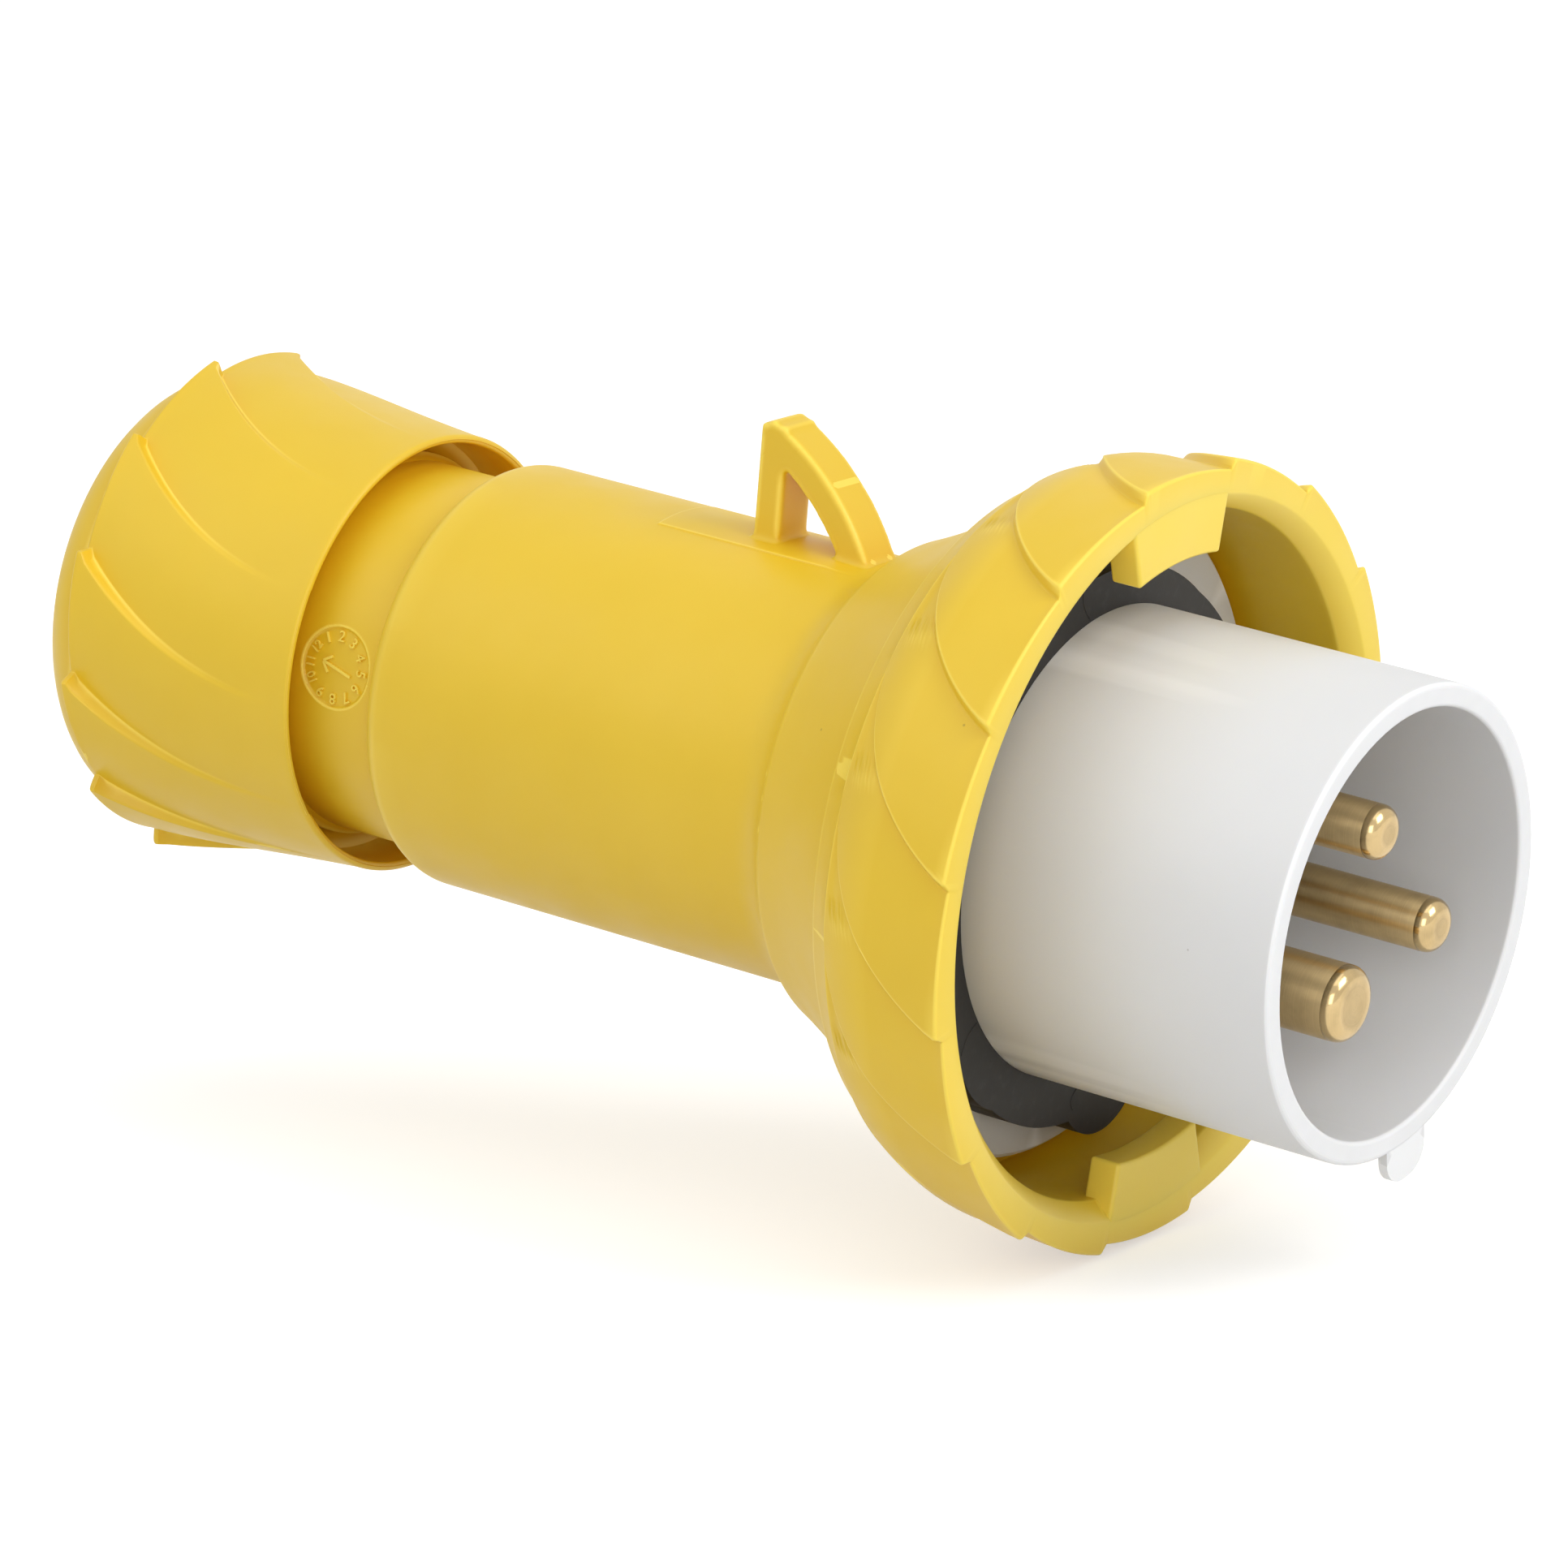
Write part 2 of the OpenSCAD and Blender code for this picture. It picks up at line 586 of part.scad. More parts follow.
module nut_inside() turned() polygon(concat([[0, nut_front_x + 1], [21, nut_front_x + 1]],
    [[21, nut_front_x + 0.1], [20.5, nut_front_x - 0.1], [20.2, nut_front_x - 0.7], [20.2, -114],
     [thread_r + thread_gap, -115], [thread_r + thread_gap, -128], [nut_cavity_r, -128.6],
     [nut_cavity_r, nut_cavity_x], [cable_hole_r, nut_cavity_x],
     [cable_hole_r, nut_rear_x + 1], [cable_hole_r + 1, nut_rear_x - 1], [0, nut_rear_x - 1]]));

module gland_nut() color(yellow) difference() {
    nut_outside();
    nut_inside();
}

housing();
contact_carrier();
locking_ring();
flange_gasket();
earth_pin();
line_pin(0);  // line_pin_1
line_pin(1);  // line_pin_2
pin_retainer();
retainer_screw();
terminal_screw(earth_clock, earth_terminal_r);  // earth_terminal_screw
terminal_screw(line_clocks[0], line_terminal_r);  // line_terminal_screw_1
terminal_screw(line_clocks[1], line_terminal_r);  // line_terminal_screw_2
wire_clamp(earth_clock, earth_terminal_r);  // earth_wire_clamp
wire_clamp(line_clocks[0], line_terminal_r);  // line_wire_clamp_1
wire_clamp(line_clocks[1], line_terminal_r);  // line_wire_clamp_2
carrier_seal();
carrier_screw(0);  // carrier_screw_1
carrier_screw(1);  // carrier_screw_2
carrier_screw(2);  // carrier_screw_3
cable_seal();
clamping_cage();
pressure_ring();
gland_nut();
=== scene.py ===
# %% [markdown]
# # A yellow locking power plug
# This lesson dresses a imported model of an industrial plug. The model gives the pieces, their sizes and
# how they move. The script adds the finish: moulded plastic, rubber, turned brass and soft studio light.
# Every piece lies along X, with the contact pins at +X and the cable's entry at -X.

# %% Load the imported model
import math
import json

import bmesh
import bpy
from mathutils import Matrix, Vector


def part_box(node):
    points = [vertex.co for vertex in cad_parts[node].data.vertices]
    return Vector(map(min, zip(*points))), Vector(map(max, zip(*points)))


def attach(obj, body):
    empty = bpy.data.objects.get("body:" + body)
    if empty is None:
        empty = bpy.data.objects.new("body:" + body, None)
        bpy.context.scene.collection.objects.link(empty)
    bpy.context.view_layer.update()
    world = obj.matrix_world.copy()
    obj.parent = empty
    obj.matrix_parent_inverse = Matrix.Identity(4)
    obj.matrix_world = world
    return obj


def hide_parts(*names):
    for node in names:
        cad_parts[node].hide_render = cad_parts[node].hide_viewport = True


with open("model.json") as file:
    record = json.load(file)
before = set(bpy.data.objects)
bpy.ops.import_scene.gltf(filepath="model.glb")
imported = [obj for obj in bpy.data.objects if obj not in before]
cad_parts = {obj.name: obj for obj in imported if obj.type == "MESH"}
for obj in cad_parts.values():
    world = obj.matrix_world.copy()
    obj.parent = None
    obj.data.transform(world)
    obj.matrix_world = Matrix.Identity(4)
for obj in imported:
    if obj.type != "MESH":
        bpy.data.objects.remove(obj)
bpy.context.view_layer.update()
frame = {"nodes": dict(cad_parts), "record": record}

# %% [markdown]
# ## Measures shared by the pieces
# Lengths are written in millimetres, because the plug is drawn that way, and MM turns them into Blender's
# metres. A station is a place along the plug's axis. A clock angle goes round that axis from the top, +Z,
# towards +Y, as a point on a dial does. Both describe a turned part better than plain X, Y and Z.

# %% Stations, clock angles and their conversion
MM = 0.001


def place(station, radius, clock):
    """The point at a station, a radius and a clock angle, in metres."""
    a = math.radians(clock)
    return Vector((station, radius * math.sin(a), radius * math.cos(a))) * MM


def polar(point):
    """The station, radius and clock angle of a point that is in metres."""
    p = Vector(point) / MM
    return p.x, math.hypot(p.y, p.z), math.degrees(math.atan2(p.y, p.z))


# %% [markdown]
# ## Surface patterns
# Moulded plastic looks flat when its colour is one number. The real surface has a faint spark texture from
# the mould, a slow drift of tone, and a few dark specks of pigment. An image could carry all this, but it
# would blur up close. Noise patterns stay sharp, and they read Object coordinates, so that they stay fixed
# to the piece when it moves.

# %% Helpers that build a material
def new_material(name):
    """An empty material with its Principled shader, and the pieces needed to wire it."""
    material = bpy.data.materials.new(name)
    material.use_nodes = True
    nodes, links = material.node_tree.nodes, material.node_tree.links
    shader = nodes["Principled BSDF"]
    coords = nodes.new("ShaderNodeTexCoord")
    return material, nodes, links, shader, coords.outputs["Object"]


def noise(nodes, links, where, size_mm, detail=3.0):
    """A noise pattern whose features are about size_mm wide."""
    node = nodes.new("ShaderNodeTexNoise")
    node.inputs["Scale"].default_value = 1 / (size_mm * MM)
    node.inputs["Detail"].default_value = detail
    links.new(where, node.inputs["Vector"])
    return node.outputs["Fac"]


def ramp(nodes, links, value, stops):
    """Turns a value into a colour or a grey, by (position, colour) stops."""
    node = nodes.new("ShaderNodeValToRGB")
    elements = node.color_ramp.elements
    while len(elements) < len(stops):
        elements.new(0.5)
    for element, (position, colour) in zip(elements, stops):
        element.position = position
        element.color = (*colour, 1) if len(colour) == 3 else colour
    links.new(value, node.inputs["Fac"])
    return node.outputs["Color"]


def bump(nodes, links, height, strength, depth_mm, below=None):
    """Adds a bump layer, on top of another one if it is given."""
    node = nodes.new("ShaderNodeBump")
    node.inputs["Strength"].default_value = strength
    node.inputs["Distance"].default_value = depth_mm * MM
    links.new(height, node.inputs["Height"])
    if below is not None:
        links.new(below, node.inputs["Normal"])
    return node.outputs["Normal"]


def grey(level):
    """A colour with three equal parts, for a value that has no hue."""
    return (level, level, level)


def toned(colour, share):
    """The same colour at a share of its strength: below 1 is darker, above 1 is paler."""
    return tuple(min(part * share, 1) for part in colour)


# %% [markdown]
# ## Moulded plastic
# The plug's yellow plastic lets a little light in. Light makes it glow pale along thin edges, and light that
# bounces from plastic to plastic turns narrow gaps a deeper, warmer colour. Subsurface light alone doesn't show
# much of it on so small a piece. So both are painted into the colour: Pointiness finds the edges for a painted
# highlight, and ambient occlusion finds the gaps for painted shade. The white plastic of the contact carrier
# and the grey inner pieces are made the same way.

# %% Mix two colours by a mask
def blend_colours(nodes, links, mask, base, other):
    """Mixes a linked base colour with a plain colour, as much as the mask says."""
    mixed = nodes.new("ShaderNodeMix")
    mixed.data_type = "RGBA"
    mixed.inputs["B"].default_value = (*other, 1)
    links.new(mask, mixed.inputs["Factor"])
    links.new(base, mixed.inputs["A"])
    return mixed.outputs["Result"]


# %% Layers of the plastic's colour
def with_specks(nodes, links, where, tone, colour, size):
    """Adds rare dark specks of pigment to a tone."""
    cells = nodes.new("ShaderNodeTexVoronoi")
    cells.inputs["Scale"].default_value = 1 / (9.0 * MM)
    links.new(where, cells.inputs["Vector"])
    mask = ramp(nodes, links, cells.outputs["Distance"], [(size, grey(0.7)), (size + 0.01, grey(0.0))])
    return blend_colours(nodes, links, mask, tone, (colour[0] * 0.45, colour[1] * 0.42, colour[2] * 0.4))


def with_recesses(nodes, links, tone, painted_recess_shade):
    """Paints shade into a tone: turns it towards the recess colour where other plastic stands within a few
    millimetres.
    """
    painted_shade_occlusion = nodes.new("ShaderNodeAmbientOcclusion")
    painted_shade_occlusion.samples = 4
    painted_shade_occlusion.inputs["Distance"].default_value = 7 * MM
    mask = ramp(nodes, links, painted_shade_occlusion.outputs["AO"], [(0.25, grey(0.85)), (0.85, grey(0.0))])
    return blend_colours(nodes, links, mask, tone, painted_recess_shade)


def with_edges(nodes, links, tone, edge):
    """Paints a highlight into a tone: turns it towards the pale edge colour where the mesh bends outwards."""
    shape = nodes.new("ShaderNodeNewGeometry")
    mask = ramp(nodes, links, shape.outputs["Pointiness"], [(0.504, grey(0.0)), (0.527, grey(0.85))])
    return blend_colours(nodes, links, mask, tone, edge)


# %% Yellow, white and grey plastic
def moulded_plastic(name, colour, shade, edge, painted_recess_shade, rough, glow, speck):
    """Plastic with a drifting tone, rare specks, a painted highlight on edges, painted shade in recesses and
    fine spark texture.
    """
    material, nodes, links, shader, where = new_material(name)
    tone = ramp(nodes, links, noise(nodes, links, where, 14.0), [(0.3, shade), (0.7, colour)])
    tone = with_specks(nodes, links, where, tone, colour, speck)
    # Painted shade in the gaps, then a painted highlight on the edges.
    tone = with_recesses(nodes, links, tone, painted_recess_shade)
    tone = with_edges(nodes, links, tone, edge)
    links.new(tone, shader.inputs["Base Color"])
    gloss = ramp(nodes, links, noise(nodes, links, where, 5.0),
                 [(0.3, grey(rough - 0.04)), (0.7, grey(rough + 0.05))])
    links.new(gloss, shader.inputs["Roughness"])
    sparks = noise(nodes, links, where, 0.22, 2.0)
    links.new(bump(nodes, links, sparks, 0.35, 0.012), shader.inputs["Normal"])
    shader.inputs["Subsurface Weight"].default_value = glow
    shader.inputs["Subsurface Scale"].default_value = 1.2 * MM
    shader.inputs["Subsurface Radius"].default_value = (1.0, 0.6, 0.25)
    return material


# Each edge colour is a painted highlight on edges, and each recess colour is painted shade in gaps.
yellow_plastic = moulded_plastic(
    "yellow_plastic", colour=(0.765, 0.515, 0.022), shade=(0.735, 0.49, 0.017), edge=(0.93, 0.70, 0.09),
    painted_recess_shade=(0.80, 0.47, 0.004), rough=0.42, glow=0.12, speck=0.008)
white_plastic = moulded_plastic(
    "white_plastic", colour=(0.715, 0.72, 0.728), shade=(0.70, 0.705, 0.712), edge=(0.86, 0.865, 0.87),
    painted_recess_shade=(0.60, 0.585, 0.54), rough=0.40, glow=0.08, speck=0.003)
grey_plastic = moulded_plastic(
    "grey_plastic", colour=(0.10, 0.105, 0.11), shade=(0.08, 0.085, 0.09), edge=(0.16, 0.165, 0.17),
    painted_recess_shade=(0.06, 0.06, 0.06), rough=0.5, glow=0.0, speck=0.003)
print("plastics:", [material.name for material in (yellow_plastic, white_plastic, grey_plastic)])

# %% [markdown]
# ## Rubber and metal
# The gasket and the seals are black rubber, matt and a little dusty. One noise pattern gives both the pale
# bloom and the roughness under it, because dust changes both at once. Screws and contacts are turned on a
# lathe, which leaves fine rings round them. A wave pattern along X draws those rings, as every turned piece
# lies along X or is too small for the direction to show.


# %% Rubber
def soft_rubber(name, colour):
    """Matt rubber with a dusty bloom and a soft, uneven surface."""
    material, nodes, links, shader, where = new_material(name)
    dust = noise(nodes, links, where, 1.1, 6.0)
    bloom = ramp(nodes, links, dust, [(0.45, colour), (0.75, toned(colour, 1.7))])
    links.new(bloom, shader.inputs["Base Color"])
    links.new(ramp(nodes, links, dust, [(0.3, grey(0.55)), (0.8, grey(0.75))]), shader.inputs["Roughness"])
    links.new(bump(nodes, links, noise(nodes, links, where, 0.3), 0.4, 0.02), shader.inputs["Normal"])
    return material


black_rubber = soft_rubber("black_rubber", (0.017, 0.0155, 0.014))


# %% Metals
def turned_metal(name, colour, rough, ring_mm):
    """Metal turned on a lathe: fine rings along X that catch the light."""
    material, nodes, links, shader, where = new_material(name)
    shader.inputs["Metallic"].default_value = 1.0
    stain = noise(nodes, links, where, 2.5, 4.0)
    tone = ramp(nodes, links, stain, [(0.3, toned(colour, 0.86)), (0.7, colour)])
    links.new(tone, shader.inputs["Base Color"])
    rings = nodes.new("ShaderNodeTexWave")
    rings.bands_direction = "X"
    rings.inputs["Scale"].default_value = 1 / (ring_mm * MM) / 6.28
    rings.inputs["Distortion"].default_value = 0.8
    rings.inputs["Detail"].default_value = 2.0
    links.new(where, rings.inputs["Vector"])
    links.new(ramp(nodes, links, rings.outputs["Fac"], [(0.0, grey(rough)), (1.0, grey(rough + 0.1))]),
              shader.inputs["Roughness"])
    links.new(bump(nodes, links, rings.outputs["Fac"], 0.3, 0.004), shader.inputs["Normal"])
    return material


pin_brass = turned_metal("pin_brass", (0.66, 0.50, 0.24), 0.2, 0.18)
screw_steel = turned_metal("screw_steel", (0.62, 0.63, 0.65), 0.3, 0.2)

# %% [markdown]
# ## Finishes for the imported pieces
# The model names a material slot for each piece. A table from slot to finish dresses them all in one loop,
# so that a piece that is hidden inside is finished as well as one that shows.

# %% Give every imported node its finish
FINISHES = {"yellow_plastic": yellow_plastic, "white_plastic": white_plastic, "grey_plastic": grey_plastic,
            "black_rubber": black_rubber, "pin_brass": pin_brass, "screw_steel": screw_steel}
slot_of = {part["node"]: part["material_slot"] for part in frame["record"]["subparts"]}
for name, node in frame["nodes"].items():
    for slot in node.material_slots:
        slot.material = FINISHES[slot_of[name]]
print("finished nodes:", len(slot_of))

# %% [markdown]
# ## Pieces that are turned and then carved
# The locking ring and the gland nut are round bodies with a saw-toothed outside. Each one starts as a
# closed outline that is spun round the X axis. Every point of the spun mesh then knows its row, which is
# its place in the outline, and its column, which is its place round the axis. The carving moves a point by
# a formula of the two, so the teeth come out smooth, even and exactly alike. Cutting each tooth with a
# boolean often leaves ragged edges that shade badly.

# %% Spin an outline and carve it
def spin_outline(outline, columns):
    """A mesh of revolution about X from a closed outline of (station, radius) points."""
    bm = bmesh.new()
    row = bm.verts.layers.int.new("row")
    ring = [bm.verts.new((x * MM, 0, r * MM)) for x, r in outline]
    for index, vert in enumerate(ring):
        vert[row] = index
    edges = [bm.edges.new((ring[i], ring[i - 1])) for i in range(len(ring))]
    bmesh.ops.spin(bm, geom=ring + edges, cent=(0, 0, 0), axis=(1, 0, 0), angle=2 * math.pi,
                   steps=columns, use_merge=True)
    return bm, row


def carve(bm, row, columns, carving):
    """Moves each point to the place that carving(row, column) gives."""
    for vert in bm.verts:
        clock = math.atan2(vert.co.y, vert.co.z) % (2 * math.pi)
        column = round(clock / (2 * math.pi) * columns) % columns
        vert.co = carving(vert[row], column)


# %% The shape of one tooth, and a soft step
TOOTH_RAMP = 0.955


def tooth_columns(middle):
    """Where a tooth's columns stand, as fractions of its width: they crowd together at the step."""
    crest = [0, 0.008, 0.018, 0.032, 0.055]
    step = [0.93, 0.94, 0.948, 0.956, 0.964, 0.972, 0.98, 0.988, 0.994]
    return crest + [0.09 + 0.82 * i / (middle - 1) for i in range(middle)] + step


def tooth_fall(f, width):
    """How far a tooth has fallen, 0 at its crest and 1 at its foot, with corners rounded over a width."""
    total = 0
    for k in range(-4, 5):
        g = (f + k / 8 * width) % 1
        total += g / TOOTH_RAMP if g < TOOTH_RAMP else (1 - g) / (1 - TOOTH_RAMP)
    return total / 9


def smoothstep(value, low, high):
    """Rises smoothly from 0 to 1 as the value goes from low to high."""
    t = min(max((value - low) / (high - low), 0), 1)
    return t * t * (3 - 2 * t)


# %% Rounded corners, and a mesh made into a piece
def corner(x, r, radius, start, end, steps):
    """Points on a rounded corner of an outline, by angles in the plane of station and radius."""
    turns = [math.radians(start + (end - start) * i / steps) for i in range(steps + 1)]
    return [(x + radius * math.sin(a), r + radius * math.cos(a)) for a in turns]


def finish_piece(bm, name, body, material, sharp=35):
    """Turns a bmesh into a piece with smooth faces, and edges that stay crisp above an angle."""
    bmesh.ops.recalc_face_normals(bm, faces=bm.faces)
    mesh = bpy.data.meshes.new(name)
    bm.to_mesh(mesh)
    bm.free()
    mesh.materials.append(material)
    mesh.shade_smooth()
    mesh.set_sharp_from_angle(angle=math.radians(sharp))
    piece = bpy.data.objects.new(name, mesh)
    bpy.context.collection.objects.link(piece)
    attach(piece, body)
    return piece


# %% [markdown]
# ## The locking ring
# Sixteen scales overlap round the ring like those of a fish, and give a gloved hand its grip. A scale's
# outline is an arc that starts at the front edge and curls back until it runs along the rear band. Sixteen
# separate scales could be laid on the ring, but they are one moulding, with no seams. So a scale's columns
# are turned further for each row behind the front, and the step follows the arc.

# %% The ring's measures
RING_FRONT, RING_TIP, RING_REAR = -24.5, 36.48, -41.6
RIM_ROUNDING = 0.35
SCALES, SCALE_CLOCK, SCALE_STEP = 16, -14.4, 1.05
SCALE_FRONT, SCALE_BACK = RING_FRONT - 0.5, -38.6
ARC_R, ARC_REACH = 23.2, 21.15
ARC_X = SCALE_FRONT + math.sqrt(ARC_R ** 2 - ARC_REACH ** 2)
ARC_ROWS = 24
RING_BORE, RING_JOURNAL = 31.7, 28.08
TRACK_X = -38.9
LEDGE_DEPTH = 0.2
print("ring length in mm:", round(RING_FRONT - RING_REAR, 1), "scales:", SCALES)


# %% The ring's outside
def ring_fall(x):
    """How much smaller the ring is at a station than at its front edge."""
    d = SCALE_FRONT - x
    return 0.12 * d + 0.077 * max(d - 8, 0) ** 1.82


def scale_turn(x):
    """How far a scale's outline has turned at a station, in degrees."""
    x = max(x, SCALE_BACK)
    reach = ARC_REACH - math.sqrt(ARC_R ** 2 - (x - ARC_X) ** 2)
    return math.degrees(max(reach, 0) / 36)


def ring_rows():
    """Rows of the ring's outline: station, radius and step height, from the front rim to the rear edge."""
    rows = []
    for x, r in corner(RING_FRONT - RIM_ROUNDING, RING_TIP - RIM_ROUNDING, RIM_ROUNDING, 90, 0, 5):
        rows.append((x, r, SCALE_STEP * (0.8 + 0.2 * (RING_FRONT - x) / RIM_ROUNDING)))
    start = math.asin((ARC_X - rows[-1][0]) / ARC_R)
    end = math.asin((ARC_X - SCALE_BACK) / ARC_R)
    for i in range(1, ARC_ROWS + 1):
        a = start + (end - start) * i / ARC_ROWS
        x = ARC_X - ARC_R * math.sin(a)
        rows.append((x, RING_TIP - ring_fall(x), SCALE_STEP * (1 - 0.85 * i / ARC_ROWS)))
    last = rows[-1][1]
    rows.append((SCALE_BACK - 0.07, last - 0.14, 0.12))
    rows.append((SCALE_BACK - 0.16, last - 0.3, 0.04))
    rows += [(x, r, 0) for x, r in corner(RING_REAR + 1.3, last - 3.0, 1.3, -25, -90, 5)]
    return rows


def ring_inside():
    """The rest of the outline: the journal's bore, the track, the wide bore and the flared mouth."""
    points = [(RING_REAR, RING_JOURNAL + 0.5), (RING_REAR + 0.3, RING_JOURNAL), (TRACK_X - 0.3, RING_JOURNAL),
              (TRACK_X, RING_JOURNAL + 0.3), (TRACK_X, RING_BORE - 0.4), (TRACK_X + 0.4, RING_BORE)]
    points += [(-34, RING_BORE), (-30, RING_BORE), (-27, RING_BORE)]
    points += corner(-26.4, RING_BORE + 0.5, 0.5, 180, 130, 3)
    return points + [(RING_FRONT - 0.12, RING_BORE + 1.48), (RING_FRONT, RING_BORE + 1.75)]


# %% The ring, its scales carved
def ledge(x, ahead):
    """A low ledge just inside a scale's arc, where the next scale is pressed on; ahead is in degrees."""
    along = smoothstep(-x, 34.2, 35.6) * smoothstep(x, SCALE_BACK, SCALE_BACK + 1)
    return LEDGE_DEPTH * smoothstep(ahead, 35.2, 36.2) * along


def make_ring():
    """The ring's mesh, spun from its outline and carved into scales."""
    outside = ring_rows()
    outline = [(x, r) for x, r, step in outside] + ring_inside()
    fractions = tooth_columns(18)
    width = len(fractions)
    columns = SCALES * width
    bm, row = spin_outline(outline, columns)
    pitch = 360 / SCALES
    falls = [tooth_fall(f, 0.012) for f in fractions]

    def carving(index, column):
        tooth, k = divmod(column, width)
        x, r = outline[index]
        if index >= len(outside):
            return place(x, r, SCALE_CLOCK + pitch * (tooth + fractions[k]))
        ahead = scale_turn(min(x, SCALE_FRONT)) + pitch * fractions[k]
        r -= outside[index][2] * falls[k] + ledge(x, ahead)
        return place(x, r, SCALE_CLOCK + pitch * tooth + ahead)

    carve(bm, row, columns, carving)
    return bm


# %% [markdown]
# ## The bayonet lugs
# Two plates stand in from the ring's mouth, across from each other. On a socket they slide behind its lugs
# and pull the plug tight. A lug is a flat outline that is swept through an arc by spin, and only its free
# edges are bevelled, because the others are buried in the ring's wall.

# %% A lug, and the finished ring
LUG_CLOCKS = (-5.6, 174.4)
LUG_HALF, LUG_THICK = 13, 3.1
LUG_INNER_R, LUG_OUTER_R, LUG_EDGE = 28.0, 33.8, 0.45


def spin_face(bm, outline, clock, sweep):
    """A closed solid from a flat outline at a clock angle, swept round X by whole degrees."""
    face = bm.faces.new([bm.verts.new(place(x, r, clock)) for x, r in outline])
    bmesh.ops.spin(bm, geom=list(face.verts) + list(face.edges) + [face], cent=(0, 0, 0), axis=(-1, 0, 0),
                   angle=math.radians(sweep), steps=sweep)
    bmesh.ops.holes_fill(bm, edges=[e for e in bm.edges if len(e.link_faces) == 1])
    bmesh.ops.recalc_face_normals(bm, faces=bm.faces)


def add_lug(bm, clock):
    """A bayonet lug: a plate with rounded edges that stands in from the ring's wall."""
    front, back = RING_FRONT, RING_FRONT - LUG_THICK
    outline = [(front, LUG_INNER_R), (front, LUG_OUTER_R - 0.4), (front - 0.35, LUG_OUTER_R),
               (back, LUG_OUTER_R), (back, LUG_INNER_R)]
    part = bmesh.new()
    spin_face(part, outline, clock - LUG_HALF, 2 * LUG_HALF)
    rim = [e for e in part.edges if len(e.link_faces) == 2 and e.calc_face_angle() > 0.6
           and min(polar(v.co)[1] for v in e.verts) < LUG_INNER_R + 2]
    bmesh.ops.bevel(part, geom=rim, offset=LUG_EDGE * MM, offset_type="OFFSET", segments=4, profile=0.5,
                    affect="EDGES", clamp_overlap=True, material=-1)
    mesh = bpy.data.meshes.new("lug")
    part.to_mesh(mesh)
    part.free()
    bm.from_mesh(mesh)
    bpy.data.meshes.remove(mesh)


ring_mesh = make_ring()
for lug_clock in LUG_CLOCKS:
    add_lug(ring_mesh, lug_clock)
ring = finish_piece(ring_mesh, "scaled_ring", "ring", yellow_plastic)
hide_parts("locking_ring")
print("scaled_ring:", len(ring.data.polygons), "faces")

# %% [markdown]
# ## The gland nut
# The nut squeezes the seal on the cable. Twelve blades sweep from its rear edge towards its front and fade
# out on the way, and their crests are rounded, so that a hand can turn the nut without sharp edges. It is
# spun and carved as the ring is. The sweep is a turn that grows from row to row.

# %% The nut's measures
NUT_FRONT, NUT_REAR, BLADE_REAR = -108.1, -138.1, -132.3
LIP_R, LIP_ROUNDING = 20.57, 0.42
BLADES, BLADE_CLOCK, BLADE_SWEEP, BLADE_STEP = 12, -69.2, 25, 1.5
BLADE_ROWS = 25
DOME_R, DOME_FLAT = 5, 16.8
RELIEF_CLOCK, RELIEF_HALF, RELIEF_DEPTH = -95.7, 32.4, 0.45
print("nut length in mm:", round(NUT_FRONT - NUT_REAR, 1), "blades:", BLADES)


# %% The nut's outline
def nut_rows():
    """Rows of the nut's outline: station, radius, step height and sweep, from the front lip to the rear."""
    lip = corner(NUT_FRONT - LIP_ROUNDING, LIP_R, LIP_ROUNDING, 90, 6, 6)
    rows = [(x, r, 0, -BLADE_SWEEP) for x, r in lip]
    for i in range(BLADE_ROWS + 1):
        t = 1 - i / BLADE_ROWS
        x = BLADE_REAR + (NUT_FRONT - 1.1 - BLADE_REAR) * t
        rise = BLADE_STEP * (0.35 * (1 - t) ** 1.25 + 0.65 * (1 - t) ** 2.6)
        rows.append((x, 22.8 - 1.8 * t + BLADE_STEP * (1 - t) ** 2.2, rise, -BLADE_SWEEP * (1 - (1 - t) ** 2)))
    x, peak = rows.pop()[:2]
    for back, drop, part in [(-0.45, -0.01, 1), (-0.2, -0.06, 1), (-0.02, -0.05, 1), (0.1, 0.06, 0.98),
                             (0.18, 0.24, 0.92), (0.22, 0.5, 0.8)]:
        rows.append((x - back, peak - drop, BLADE_STEP * part, 0))
    rows.append((BLADE_REAR - 0.28, 22.1, 0.1, 0))
    rows.append((BLADE_REAR - 0.4, 21.87, 0, 0))
    rows += [(x, r, 0, 0) for x, r in corner(NUT_REAR + DOME_R, DOME_FLAT, DOME_R, -6, -90, 10)]
    return rows


def nut_inside():
    """The rest of the outline: the cable's hole, the cavity, the thread and the inside of the lip."""
    points = [(NUT_REAR, 11), (NUT_REAR + 0.3, 10.2), (NUT_REAR + 1, 9.6), (-136.3, 9.5), (-135.8, 10),
              (-135.8, 17.3), (-135.3, 17.8), (-128.6, 17.8), (-128, 18.48), (-115, 18.48), (-114.6, 18.9),
              (-114, 20.1), (-113.6, 20.2), (-111, 20.2), (-109.2, 20.2)]
    return points + corner(NUT_FRONT - LIP_ROUNDING, 20.5, 0.34, 200, 90, 4)


# %% The nut, its blades carved
def lip_relief(x, r, clock):
    """How much the lip is thinned from inside, on two sides of the nut that face each other."""
    side = (clock - RELIEF_CLOCK + 90) % 180 - 90
    here = 1 - smoothstep(abs(side), RELIEF_HALF, RELIEF_HALF + 0.8)
    return RELIEF_DEPTH * here * smoothstep(x, -113.9, -113.3) * (1 - smoothstep(r, 20.3, 20.95))


